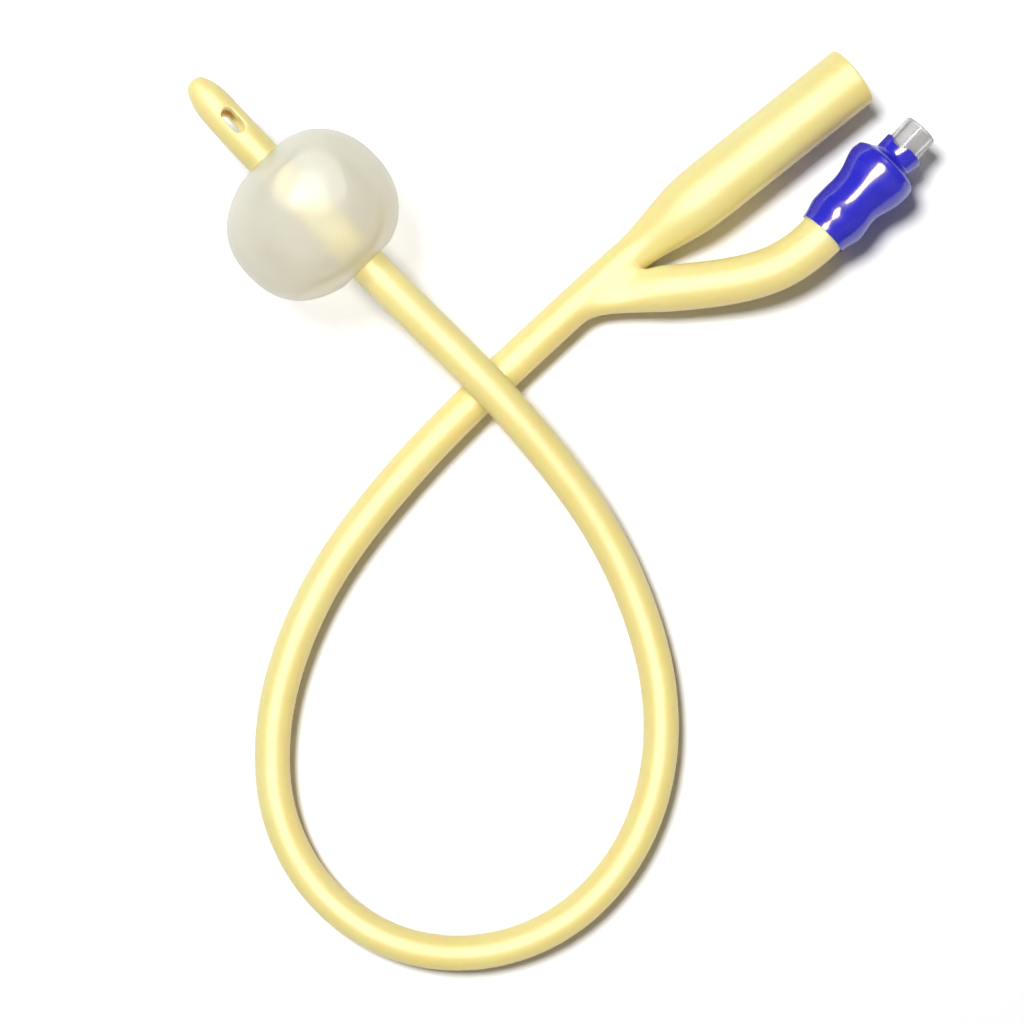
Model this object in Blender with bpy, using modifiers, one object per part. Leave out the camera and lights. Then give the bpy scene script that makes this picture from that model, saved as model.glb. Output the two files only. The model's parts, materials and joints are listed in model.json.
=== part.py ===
"""Two-way urinary catheter with an inflated balloon, lying in one loose loop.

A single dipped latex body holds the rounded tip with its two opposed eyes, the shaft with its
drainage and inflation lumens, the drainage funnel and the inflation arm. A balloon sits on the
shaft, and a sprung inflation valve under a shrunk sleeve closes the arm.

Metres, +Z up. The origin lies on the table, under the middle of the part. The drainage funnel
points along +X.
"""

import math

import bmesh
import bpy
from mathutils import Matrix, Vector

# Shaft. The four radii are those near the tip, behind the balloon, in the loop and before the fork.
TIP_RADIUS = 0.00308
BALLOON_END_RADIUS = 0.00320
SHAFT_RADIUS = 0.00297
FORK_RADIUS = 0.00318
NOSE_LENGTH = 0.0058
NOSE_FULLNESS = 2.0
DRAIN_LUMEN_RADIUS = 0.00145
DRAIN_LUMEN_OFFSET = 0.00035
INFLATION_LUMEN_RADIUS = 0.00040
INFLATION_WALL = 0.00038
EYE_DISTANCE = 0.0096
EYE_LENGTH = 0.0046
EYE_WIDTH = 0.0021
EYE_TILT = math.radians(15)

# Drainage funnel, measured back from its mouth.
FUNNEL_RADIUS = 0.00538
FUNNEL_WALL = 0.00120
SOCKET_TAPER = 0.00010
FUNNEL_LENGTH = 0.0330
FLARE_LENGTH = 0.0150
FUNNEL_RIM_ROUND = 0.00035
CROTCH_DISTANCE = 0.0483
FORK_LENGTH = 0.0106

# Inflation arm.
ARM_RADIUS = 0.00395
ARM_LUMEN_RADIUS = 0.00090

# Balloon, inflated.
BALLOON_RADIUS = 0.0144
BALLOON_HALF_LENGTH = 0.0125
BALLOON_SQUARENESS = 2.3
BALLOON_WALL = 0.00045
BALLOON_DIMPLE = 0.0011
BALLOON_DIMPLE_RADIUS = 0.0054
BALLOON_CUFF_LENGTH = 0.0022
BALLOON_ECCENTRICITY = 0.00090
BALLOON_FROM_TIP = 0.0294
BALLOON_HEADING = math.radians(-84.0)
BALLOON_SLOPE = math.radians(-6.5)
STRAIGHT_RUN = 0.0360
LEAN_LIFT = 0.0001
TIP_SWAY = 0.0006
TIP_DROOP = 0.0006
PORT_RADIUS = 0.00045

# Inflation valve. Distances run along its axis from the sleeve's lower edge to the rim.
VALVE_LENGTH = 0.0240
VALVE_HEADING = math.radians(7.9)
SLEEVE_LENGTH = 0.0196
SLEEVE_WALL = 0.00035
SLEEVE_FOOT = 0.0036
SLEEVE_FOOT_RADIUS = 0.00517
SLEEVE_WAIST = 0.0076
SLEEVE_WAIST_RADIUS = 0.00490
SLEEVE_BULGE_RADIUS = 0.00618
BULGE_PAST_MOUTH = 0.0006
SHOULDER_PAST_MOUTH = 0.0018
NECK_PAST_MOUTH = 0.0037
ARM_MOUTH = 0.0134
BARREL_RADIUS = 0.00305
LUER_MOUTH_RADIUS = 0.002135
LUER_TAPER = 0.06
LUER_DEPTH = 0.0075
SEAT_THICKNESS = 0.0009
THROAT_RADIUS = 0.00150
CHAMBER_RADIUS = 0.00250
HOUSING_RADIUS = 0.00345
HOUSING_HEAD_RADIUS = 0.00440
HOUSING_FLANGE_RADIUS = 0.00520
FLANGE_THICKNESS = 0.0014
FLANGE_CONE = 0.0018
HEAD_DEPTH = 0.0014
HEAD_CONE = 0.0026
HOUSING_BOTTOM = 0.0070
BASE_FLANGE_THICKNESS = 0.0010
BASE_PLUG_LENGTH = 0.0020
BASE_BORE_RADIUS = 0.00080
TAIL_RADIUS = 0.00150
TAIL_BARB = 0.00035
TAIL_BARBS = 3
TAIL_LENGTH = 0.0050
STEM_RADIUS = 0.00115
STEM_TOP_DEPTH = 0.0050
FLUTE_WIDTH = 0.00060
FLUTE_DEPTH = 0.00050
POPPET_RADIUS = 0.00205
POPPET_THICKNESS = 0.0008
SEAL_THICKNESS = 0.0008
GUIDE_LENGTH = 0.0020
GUIDE_RADIUS = 0.00095
SPRING_WIRE_RADIUS = 0.00016
SPRING_TURNS = 4.5

# Clearances: between pieces that fit together, and between faces that only rest on each other.
FIT_GAP = 0.00012
REST_GAP = 0.00030
SEAT_GAP = 0.00005

# The lay on the table is drawn on a grid with this spacing, which sizes the whole loop.
LAY_GRID = 0.001

# Fineness.
CAGE_SIDES = 8
CAGE_LEVELS = 1
CAGE_SPACING = 0.0064
LUMEN_SPACING = 0.0055
TURN_STEPS = 24
BALLOON_STEPS = 28
BALLOON_RINGS = 7
# A ring of cage corners comes out this much smaller: the mean over its corners and edge middles.
HALF_SIDE = math.pi / CAGE_SIDES
CORNER_SHRINK = (4 + 2 * math.cos(2 * HALF_SIDE)) / 6
MIDDLE_SHRINK = (46 * math.cos(HALF_SIDE) + 2 * math.cos(3 * HALF_SIDE)) / 48
CAGE_SHRINK = 0.5 * (CORNER_SHRINK + MIDDLE_SHRINK)

UP = Vector((0, 0, 1))


def heading_vector(heading, slope=0.0):
    """A unit vector that points along a heading from +X, tilted up by a slope."""
    level = math.cos(slope)
    return Vector((level * math.cos(heading), level * math.sin(heading), math.sin(slope)))


# Heights of the shaft's underside above the table.
# The balloon leans with the shaft, which brings its underside a little lower than its radius.
BALLOON_LIFT = BALLOON_RADIUS - BALLOON_END_RADIUS + LEAN_LIFT
CROSSING_LIFT = 2 * FORK_RADIUS + REST_GAP
BALLOON_AXIS = heading_vector(BALLOON_HEADING, BALLOON_SLOPE)


def on_table(x, y, lift=0.0):
    return Vector((x * LAY_GRID, y * LAY_GRID, lift))


BALLOON_CENTRE = on_table(-27.4, 37.3, BALLOON_LIFT)


def balloon_run(distance):
    """A point on the straight stretch of shaft inside the balloon, with its lift."""
    return BALLOON_CENTRE + BALLOON_AXIS * distance


# The shaft's centreline as it lies, from the tip to the funnel's mouth. Its z is the lift.
SHAFT_ROUTE = [
    balloon_run(-BALLOON_FROM_TIP) + Vector((TIP_SWAY, 0, -TIP_DROOP)),
    balloon_run(-STRAIGHT_RUN / 2),
    balloon_run(-STRAIGHT_RUN / 4),
    balloon_run(0),
    balloon_run(STRAIGHT_RUN / 4),
    balloon_run(STRAIGHT_RUN / 2),
    on_table(-24.3, 9.2, 1.15 * CROSSING_LIFT),
    on_table(-22.9, -2.6, 1.0 * CROSSING_LIFT),
    on_table(-22.2, -17.5, 0.62 * CROSSING_LIFT),
    on_table(-22.9, -32.4, 0.24 * CROSSING_LIFT),
    on_table(-26.2, -46.9, 0.03 * CROSSING_LIFT),
    on_table(-32.3, -60.6),
    on_table(-42.0, -72.0),
    on_table(-54.9, -79.3),
    on_table(-69.7, -81.1),
    on_table(-83.7, -76.3),
    on_table(-94.1, -65.8),
    on_table(-98.4, -51.5),
    on_table(-95.8, -36.9),
    on_table(-87.1, -24.6),
    on_table(-75.2, -15.6),
    on_table(-61.6, -9.4),
    on_table(-42.1, -4.8),
    on_table(-22.3, -2.4),
    on_table(-6.0, -1.1),
    on_table(6.0, -0.3),
    on_table(17.0, 0.0),
    on_table(28.0, 0.0),
    on_table(57.5, 0.0),
]
# The arm's centreline, from inside the fork to the valve.
VALVE_START = on_table(36.8, -17.5)
ARM_ROUTE = [
    (2.0, -2.1),
    (7.4, -5.9),
    (12.7, -9.6),
    (17.4, -12.6),
    (22.3, -15.4),
    (27.6, -17.4),
    (32.4, -18.0),
]


def remove_everything():
    for item in list(bpy.data.objects):
        bpy.data.objects.remove(item, do_unlink=True)


def new_collection(name):
    collection = bpy.data.collections.new(name)
    bpy.context.scene.collection.children.link(collection)
    return collection


def material(name, colour, roughness, metallic=0.0, alpha=1.0):
    made = bpy.data.materials.new(name)
    made.use_nodes = True
    shader = made.node_tree.nodes["Principled BSDF"]
    shader.inputs["Base Color"].default_value = (*colour, 1.0)
    shader.inputs["Roughness"].default_value = roughness
    shader.inputs["Metallic"].default_value = metallic
    shader.inputs["Alpha"].default_value = alpha
    return made


class Path:
    """A smooth curve through points, read by the distance along it."""

    SAMPLES = 24

    def __init__(self, points):
        points = [Vector(point) for point in points]
        ends = [2 * points[0] - points[1]] + points + [2 * points[-1] - points[-2]]
        self.points = [points[0]]
        for index in range(1, len(ends) - 2):
            for step in range(1, self.SAMPLES + 1):
                self.points.append(self.between(ends[index - 1:index + 3], step / self.SAMPLES))
        self.distances = [0.0]
        for before, after in zip(self.points, self.points[1:]):
            self.distances.append(self.distances[-1] + (after - before).length)
        self.length = self.distances[-1]

    @staticmethod
    def between(four, share):
        """A Catmull-Rom point between the middle two of four points, at even speed."""
        knots = [0.0]
        for before, after in zip(four, four[1:]):
            knots.append(knots[-1] + math.sqrt((after - before).length))
        at = knots[1] + share * (knots[2] - knots[1])

        def mix(low, high, start, end):
            return low.lerp(high, (at - start) / (end - start))

        first = [mix(four[k], four[k + 1], knots[k], knots[k + 1]) for k in range(3)]
        second = [mix(first[k], first[k + 1], knots[k], knots[k + 2]) for k in range(2)]
        return mix(second[0], second[1], knots[1], knots[2])

    def at(self, distance):
        """The point at a distance. Beyond either end the curve goes straight on."""
        last = len(self.points) - 1
        index = 1
        while index < last and self.distances[index] < distance:
            index += 1
        start, end = self.distances[index - 1], self.distances[index]
        return self.points[index - 1].lerp(self.points[index], (distance - start) / (end - start))

    def direction(self, distance, reach=0.0006):
        return (self.at(distance + reach) - self.at(distance - reach)).normalized()


def lerp(start, end, share):
    return start + (end - start) * min(max(share, 0.0), 1.0)


def smooth(start, end, share):
    share = min(max(share, 0.0), 1.0)
    return lerp(start, end, share * share * (3 - 2 * share))


def through_stations(stations, distance):
    """A value that eases from one station to the next."""
    for (near, low), (far, high) in zip(stations, stations[1:]):
        if distance <= far:
            return smooth(low, high, (distance - near) / (far - near))
    return stations[-1][1]


SHAFT_PATH = Path(SHAFT_ROUTE)
MOUTH = SHAFT_PATH.length
FORK_START = MOUTH - CROTCH_DISTANCE - FORK_LENGTH
FLARE_START = MOUTH - FUNNEL_LENGTH - FLARE_LENGTH
FLARE_END = MOUTH - FUNNEL_LENGTH


def shaft_radius(distance):
    """The outer radius at a distance from the tip, up to the funnel's mouth."""
    if distance < NOSE_LENGTH:
        share = 1 - max(distance, 0.0) / NOSE_LENGTH
        return TIP_RADIUS * (1 - share ** NOSE_FULLNESS) ** (1 / NOSE_FULLNESS)
    stations = [
        (0.025 * MOUTH, TIP_RADIUS),
        (0.113 * MOUTH, BALLOON_END_RADIUS),
        (0.40 * MOUTH, SHAFT_RADIUS),
        (0.60 * MOUTH, SHAFT_RADIUS),
        (0.776 * MOUTH, FORK_RADIUS),
        (FLARE_START, FORK_RADIUS),
        (FLARE_END, FUNNEL_RADIUS),
    ]
    return through_stations(stations, distance)


def drain_radius(distance):
    """The drainage lumen's radius: the funnel's socket narrows to the shaft's bore."""
    socket = FUNNEL_RADIUS - FUNNEL_WALL
    stations = [
        (FORK_START, DRAIN_LUMEN_RADIUS),
        (FLARE_START + 0.002, DRAIN_LUMEN_RADIUS * 1.15),
        (FLARE_END + 0.001, socket - SOCKET_TAPER),
        (MOUTH, socket),
    ]
    return through_stations(stations, distance)


def shaft_point(distance):
    """The centreline, raised by the local radius so that the underside follows the lift."""
    return SHAFT_PATH.at(distance) + UP * shaft_radius(max(distance, NOSE_LENGTH))


def shaft_direction(distance, reach=0.0006):
    return (shaft_point(distance + reach) - shaft_point(distance - reach)).normalized()


VALVE_AXIS = heading_vector(VALVE_HEADING)
VALVE_ORIGIN = VALVE_START + UP * SLEEVE_BULGE_RADIUS


def arm_path():
    points = []
    for index, (x, y) in enumerate(ARM_ROUTE):
        height = smooth(ARM_RADIUS, SLEEVE_BULGE_RADIUS, index / len(ARM_ROUTE))
        points.append(on_table(x, y, height))
    points.append(VALVE_ORIGIN)
    points.append(VALVE_ORIGIN + VALVE_AXIS * ARM_MOUTH / 2)
    points.append(VALVE_ORIGIN + VALVE_AXIS * ARM_MOUTH)
    return Path(points)


ARM_PATH = arm_path()
ARM_END = ARM_PATH.length
ARM_AT_SLEEVE = ARM_END - ARM_MOUTH


def sleeve_radius(distance):
    """The sleeve's outer radius along the valve's axis."""
    neck = BARREL_RADIUS + SLEEVE_WALL + FIT_GAP
    stations = [
        (0.0, ARM_RADIUS + SLEEVE_WALL + FIT_GAP),
        (SLEEVE_FOOT, SLEEVE_FOOT_RADIUS),
        (SLEEVE_WAIST, SLEEVE_WAIST_RADIUS),
        (ARM_MOUTH + BULGE_PAST_MOUTH, SLEEVE_BULGE_RADIUS),
        (ARM_MOUTH + SHOULDER_PAST_MOUTH, 0.97 * SLEEVE_BULGE_RADIUS),
        (ARM_MOUTH + NECK_PAST_MOUTH, neck),
        (SLEEVE_LENGTH, neck),
    ]
    return through_stations(stations, distance)


def arm_radius(distance):
    """The arm's outer radius. Under the sleeve it fills the sleeve."""
    under = distance - ARM_AT_SLEEVE
    if under <= 0:
        return ARM_RADIUS
    return sleeve_radius(under) - SLEEVE_WALL - 2 * FIT_GAP


def across(direction):
    """The level direction to the left of a heading, and the one square to both."""
    left = UP.cross(direction).normalized()
    return left, direction.cross(left).normalized()


def cage_ring(bm, centre, direction, radius, skip=()):
    """Eight cage corners around a centre, starting at the left and going over the top."""
    left, over = across(direction)
    corners = []
    for side in range(CAGE_SIDES):
        angle = 2 * math.pi * side / CAGE_SIDES
        offset = (left * math.cos(angle) + over * math.sin(angle)) * radius / CAGE_SHRINK
        corners.append(None if side in skip else bm.verts.new(centre + offset))
    return corners


def bridge(bm, first, second):
    """Joins two rings side by side, leaving out any face that lacks a corner."""
    for side in range(len(first)):
        after = (side + 1) % len(first)
        corners = [first[side], first[after], second[after], second[side]]
        if None not in corners:
            bm.faces.new(corners)


def crease(bm, ring):
    """Keeps the edges of a ring sharp when the cage is subdivided."""
    layer = bm.edges.layers.float.get("crease_edge") or bm.edges.layers.float.new("crease_edge")
    for side, corner in enumerate(ring):
        edge = bm.edges.get((corner, ring[(side + 1) % len(ring)]))
        edge[layer] = 1.0


def even_steps(start, end, spacing):
    count = max(1, round((end - start) / spacing))
    return [start + (end - start) * step / count for step in range(count + 1)]


def main_stations():
    """Distances from the tip at which the main tube's cage has a ring, and the fork's three."""
    nose = [NOSE_LENGTH * share for share in (0.10, 0.32, 0.65)]
    shaft = even_steps(NOSE_LENGTH * 1.05, FORK_START - 0.0035, CAGE_SPACING)
    fork = [FORK_START, FORK_START + FORK_LENGTH / 2, FORK_START + FORK_LENGTH]
    flare = even_steps(fork[2] + 0.0016, FLARE_END + 0.001, 0.0038)
    funnel = even_steps(FLARE_END + 0.006, MOUTH - 0.0012, 0.0080)
    rim = [MOUTH - FUNNEL_RIM_ROUND, MOUTH]
    return nose + shaft + fork + flare + funnel + rim, len(nose) + len(shaft)


def body_cage():
    """The whole latex body as one cage: main tube, arm, and the saddle between them."""
    bm = bmesh.new()
    stations, fork = main_stations()
    rings = []
    for index, distance in enumerate(stations):
        radius = shaft_radius(distance)
        if distance == MOUTH:
            radius -= FUNNEL_RIM_ROUND
        skip = (CAGE_SIDES // 2,) if index == fork + 1 else ()
        # The first ring stands at the very tip, where its cap closes the nose.
        place = distance if index else 0.0
        rings.append(cage_ring(bm, shaft_point(place), shaft_direction(place), radius, skip))
    for first, second in zip(rings, rings[1:]):
        bridge(bm, first, second)
    bm.faces.new(rings[0])
    bm.faces.new(rings[-1])
    crease(bm, rings[-1])

    # The fork's opening: five corners over the crotch, then back under it.
    start, middle, end = rings[fork:fork + 3]
    opening = [end[4], end[3], middle[3], start[3], start[4], start[5], middle[5], end[5]]
    arm_stations = [ARM_RADIUS * share for share in (2.4, 3.15, 4.2)]
    arm_stations += even_steps(ARM_RADIUS * 5.45, ARM_AT_SLEEVE - 0.0020, 0.0050)
    arm_stations += even_steps(ARM_AT_SLEEVE, ARM_END - 0.0008, 0.0022)
    arm_stations += [ARM_END - FUNNEL_RIM_ROUND, ARM_END]
    before = opening
    for distance in arm_stations:
        radius = arm_radius(distance)
        if distance == ARM_END:
            radius -= FUNNEL_RIM_ROUND
        ring = cage_ring(bm, ARM_PATH.at(distance), ARM_PATH.direction(distance), radius)
        bridge(bm, before, ring)
        before = ring
    bm.faces.new(before)
    crease(bm, before)
    bmesh.ops.recalc_face_normals(bm, faces=bm.faces)
    return bm


def new_object(name, data, collection, colour=None):
    made = bpy.data.objects.new(name, data)
    collection.objects.link(made)
    if colour is not None:
        made.data.materials.append(colour)
    return made


def mesh_object(name, bm, collection, colour=None):
    mesh = bpy.data.meshes.new(name)
    bm.to_mesh(mesh)
    bm.free()
    mesh.shade_smooth()
    return new_object(name, mesh, collection, colour)


def as_cutter(cutter):
    cutter.hide_render = True
    cutter.display_type = "WIRE"
    return cutter


def cut(target, cutter, operation="DIFFERENCE"):
    modifier = target.modifiers.new(operation.lower() + "_" + cutter.name, "BOOLEAN")
    modifier.operation = operation
    modifier.solver = "EXACT"
    modifier.object = cutter


def curve_object(name, points, radii, collection, colour=None, bevel=2):
    """A round tube through points, with a radius at each."""
    curve = bpy.data.curves.new(name, "CURVE")
    curve.dimensions = "3D"
    curve.bevel_depth = max(radii)
    curve.bevel_resolution = bevel
    curve.use_fill_caps = True
    spline = curve.splines.new("POLY")
    spline.points.add(len(points) - 1)
    for target, point, radius in zip(spline.points, points, radii):
        target.co = (*point, 1.0)
        target.radius = radius / max(radii)
    return new_object(name, curve, collection, colour)


def tube_cutter(name, points, radii, collection, bevel=2):
    """A tube turned into a closed mesh, because a curve can't cut."""
    curve = curve_object(name + "_curve", points, radii, collection, bevel=bevel)
    graph = bpy.context.evaluated_depsgraph_get()
    mesh = bpy.data.meshes.new_from_object(curve.evaluated_get(graph))
    bpy.data.objects.remove(curve, do_unlink=True)
    bm = bmesh.new()
    bm.from_mesh(mesh)
    bmesh.ops.remove_doubles(bm, verts=bm.verts, dist=0.000001)
    bmesh.ops.recalc_face_normals(bm, faces=bm.faces)
    bpy.data.meshes.remove(mesh)
    return as_cutter(mesh_object(name, bm, collection))


def turned(name, profile, collection, colour=None, steps=TURN_STEPS, closed=True, wall=None):
    """A profile of (radius, height) points turned about Z. An open one with a wall is a shell."""
    bm = bmesh.new()
    corners = [bm.verts.new((radius, 0, height)) for radius, height in profile]
    for first, second in zip(corners, corners[1:]):
        bm.edges.new((first, second))
    if closed:
        bm.edges.new((corners[-1], corners[0]))
    made = mesh_object(name, bm, collection, colour)
    screw = made.modifiers.new("turn", "SCREW")
    screw.steps = steps
    screw.render_steps = steps
    screw.use_merge_vertices = True
    screw.merge_threshold = 0.00001
    screw.use_smooth_shade = True
    if wall:
        shell = made.modifiers.new("wall", "SOLIDIFY")
        shell.thickness = wall
        shell.offset = -1
        shell.use_even_offset = True
    return made


def inflation_offset(distance):
    """How far the inflation lumen lies to the right of the shaft's centreline."""
    return shaft_radius(distance) - INFLATION_WALL - INFLATION_LUMEN_RADIUS


def drain_cutter(collection):
    deepest = EYE_DISTANCE - EYE_LENGTH / 2 - 0.0002
    distances = even_steps(deepest, FORK_START, LUMEN_SPACING)
    distances += even_steps(FORK_START + 0.003, FLARE_END + 0.001, 0.0030)
    distances += [FLARE_END + 0.008, MOUTH + 0.002]
    points = []
    for distance in distances:
        left, _ = across(shaft_direction(distance))
        shift = smooth(DRAIN_LUMEN_OFFSET, 0, (distance - FORK_START) / FORK_LENGTH)
        points.append(shaft_point(distance) + left * shift)
    return tube_cutter("drainage_lumen", points, [drain_radius(d) for d in distances], collection, 3)


def inflation_cutter(collection):
    """From the arm's bore, round the fork, and along the shaft's right wall to the balloon."""
    points = [ARM_PATH.at(ARM_AT_SLEEVE - step * 0.004) for step in range(-1, 7)]
    radii = [lerp(ARM_LUMEN_RADIUS, INFLATION_LUMEN_RADIUS, step / 7) for step in range(8)]
    points.append(ARM_PATH.at(1.7 * ARM_RADIUS) - UP * 0.0003)
    radii.append(INFLATION_LUMEN_RADIUS)
    for distance in even_steps(BALLOON_FROM_TIP - 0.003, FORK_START - 0.001, LUMEN_SPACING)[::-1]:
        left, _ = across(shaft_direction(distance))
        points.append(shaft_point(distance) - left * inflation_offset(distance))
        radii.append(INFLATION_LUMEN_RADIUS)
    return tube_cutter("inflation_lumen", points, radii, collection, 1)


def eye_cutter(collection):
    """A slot with round ends that goes through both walls."""
    bm = bmesh.new()
    half = (EYE_LENGTH - EYE_WIDTH) / 2
    outline = []
    for end in (1, -1):
        for step in range(7):
            angle = math.pi * (step / 6 - 0.5) + (math.pi if end < 0 else 0)
            x = end * half + EYE_WIDTH / 2 * math.cos(angle)
            y = EYE_WIDTH / 2 * math.sin(angle)
            outline.append(bm.verts.new((x, y, -2 * TIP_RADIUS)))
    face = bm.faces.new(outline)
    lifted = bmesh.ops.extrude_face_region(bm, geom=[face])["geom"]
    raised = [item for item in lifted if isinstance(item, bmesh.types.BMVert)]
    bmesh.ops.translate(bm, verts=raised, vec=UP * 4 * TIP_RADIUS)
    bmesh.ops.recalc_face_normals(bm, faces=bm.faces)
    made = as_cutter(mesh_object("eye_slot", bm, collection))
    direction = shaft_direction(EYE_DISTANCE)
    left, over = across(direction)
    axis = over * math.cos(EYE_TILT) + left * math.sin(EYE_TILT)
    turn = Matrix((direction, axis.cross(direction), axis)).transposed()
    made.matrix_world = Matrix.Translation(shaft_point(EYE_DISTANCE)) @ turn.to_4x4()
    return made


def port_cutter(collection):
    """The hole through which the inflation lumen fills the balloon."""
    left, _ = across(shaft_direction(BALLOON_FROM_TIP))
    centre = shaft_point(BALLOON_FROM_TIP)
    inner = centre - left * inflation_offset(BALLOON_FROM_TIP)
    outer = centre - left * (BALLOON_END_RADIUS + 0.001)
    return tube_cutter("balloon_port", [inner, outer], [PORT_RADIUS] * 2, collection, 2)


def barb_profile():
    """The base's tail, from its tip up to the flange: each barb rises slowly and drops off."""
    pitch = TAIL_LENGTH / TAIL_BARBS
    tail_end = HOUSING_BOTTOM - BASE_FLANGE_THICKNESS - TAIL_LENGTH
    points = []
    for barb in range(TAIL_BARBS):
        bottom = tail_end + barb * pitch
        points.append((TAIL_RADIUS, bottom))
        points.append((TAIL_RADIUS + TAIL_BARB, bottom + 0.75 * pitch))
        points.append((TAIL_RADIUS, bottom + 0.85 * pitch))
    return points


def socket_cutter(collection):
    """The stepped bore of the arm that holds the valve's housing and base."""
    tail = TAIL_RADIUS + TAIL_BARB + FIT_GAP
    bottom = HOUSING_BOTTOM - BASE_FLANGE_THICKNESS
    profile = [
        (0.0, ARM_MOUTH + 0.002),
        (HOUSING_HEAD_RADIUS + FIT_GAP, ARM_MOUTH + 0.002),
        (HOUSING_HEAD_RADIUS + FIT_GAP, ARM_MOUTH - HEAD_DEPTH),
        (HOUSING_RADIUS + FIT_GAP, ARM_MOUTH - HEAD_DEPTH - HEAD_CONE),
        (HOUSING_RADIUS + FIT_GAP, bottom - FIT_GAP),
        (tail, bottom - FIT_GAP),
        (tail, bottom - TAIL_LENGTH - 0.0004),
        (ARM_LUMEN_RADIUS, bottom - TAIL_LENGTH - 0.0012),
        (0.0, bottom - TAIL_LENGTH - 0.0012),
    ]
    return as_cutter(turned("valve_socket", profile, collection, closed=False))


def build_body(parts, cutters, valve_axis):
    latex = material("latex", (0.90, 0.78, 0.42), 0.34)
    body = mesh_object("catheter_body", body_cage(), parts, latex)
    rounding = body.modifiers.new("rounding", "SUBSURF")
    rounding.levels = CAGE_LEVELS
    rounding.render_levels = CAGE_LEVELS
    socket = socket_cutter(cutters)
    socket.parent = valve_axis
    for cutter in (
        drain_cutter(cutters),
        socket,
        inflation_cutter(cutters),
        eye_cutter(cutters),
        port_cutter(cutters),
    ):
        cut(body, cutter)
    return body


CUFF_RADIUS = BALLOON_END_RADIUS + FIT_GAP + BALLOON_WALL


def balloon_height(radius):
    """How far the membrane stands from the balloon's middle, along the shaft, at a radius."""
    share = radius / BALLOON_RADIUS
    dome = (1 - share ** BALLOON_SQUARENESS) ** (1 / BALLOON_SQUARENESS)
    inward = (BALLOON_DIMPLE_RADIUS - radius) / (BALLOON_DIMPLE_RADIUS - CUFF_RADIUS)
    dip = smooth(0, BALLOON_DIMPLE, inward)
    return BALLOON_HALF_LENGTH * dome - dip


def balloon_profile():
    """Half of the inflated membrane, from its middle to the end of its tucked-in cuff."""
    rim_angle = math.acos((BALLOON_DIMPLE_RADIUS / BALLOON_RADIUS) ** (BALLOON_SQUARENESS / 2))
    radii = []
    for step in range(BALLOON_RINGS + 1):
        angle = rim_angle * step / BALLOON_RINGS
        radii.append(BALLOON_RADIUS * math.cos(angle) ** (2 / BALLOON_SQUARENESS))
    radii.append((BALLOON_DIMPLE_RADIUS + CUFF_RADIUS) / 2)
    radii.append(CUFF_RADIUS)
    points = [(radius, balloon_height(radius)) for radius in radii]
    return points + [(CUFF_RADIUS, points[-1][1] - BALLOON_CUFF_LENGTH)]


def build_balloon(parts):
    film = material("balloon_film", (0.80, 0.80, 0.72), 0.35, alpha=0.85)
    half = balloon_profile()
    profile = half[::-1] + [(radius, -height) for radius, height in half[1:]]
    bm = bmesh.new()
    corners = [bm.verts.new((radius, 0, height)) for radius, height in profile]
    for first, second in zip(corners, corners[1:]):
        bm.edges.new((first, second))
    everything = bm.verts[:] + bm.edges[:]
    bmesh.ops.spin(bm, geom=everything, axis=UP, cent=(0, 0, 0), angle=2 * math.pi, steps=BALLOON_STEPS)
    bmesh.ops.remove_doubles(bm, verts=bm.verts, dist=0.00001)
    bmesh.ops.recalc_face_normals(bm, faces=bm.faces)
    # The membrane swells a little further to one side of the shaft than to the other.
    for vertex in bm.verts:
        outward = (vertex.co.xy.length - CUFF_RADIUS) / (BALLOON_RADIUS - CUFF_RADIUS)
        vertex.co.x -= smooth(0, BALLOON_ECCENTRICITY, outward)
    made = mesh_object("balloon", bm, parts, film)
    shell = made.modifiers.new("wall", "SOLIDIFY")
    shell.thickness = BALLOON_WALL
    shell.offset = -1
    shell.use_even_offset = True
    centre = shaft_point(BALLOON_FROM_TIP)
    direction = shaft_direction(BALLOON_FROM_TIP)
    left, over = across(direction)
    turn = Matrix((left, over, direction)).transposed()
    made.matrix_world = Matrix.Translation(centre) @ turn.to_4x4()
    return made


def build_sleeve(parts):
    blue = material("sleeve_blue", (0.035, 0.030, 0.62), 0.16)
    heights = even_steps(0.0, SLEEVE_LENGTH, 0.0015)[::-1]
    profile = [(sleeve_radius(height), height) for height in heights]
    return turned("valve_sleeve", profile, parts, blue, closed=False, wall=SLEEVE_WALL)


SEAT_TOP = VALVE_LENGTH - LUER_DEPTH
SEAT_BOTTOM = SEAT_TOP - SEAT_THICKNESS
PLUG_TOP = HOUSING_BOTTOM + BASE_PLUG_LENGTH


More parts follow.
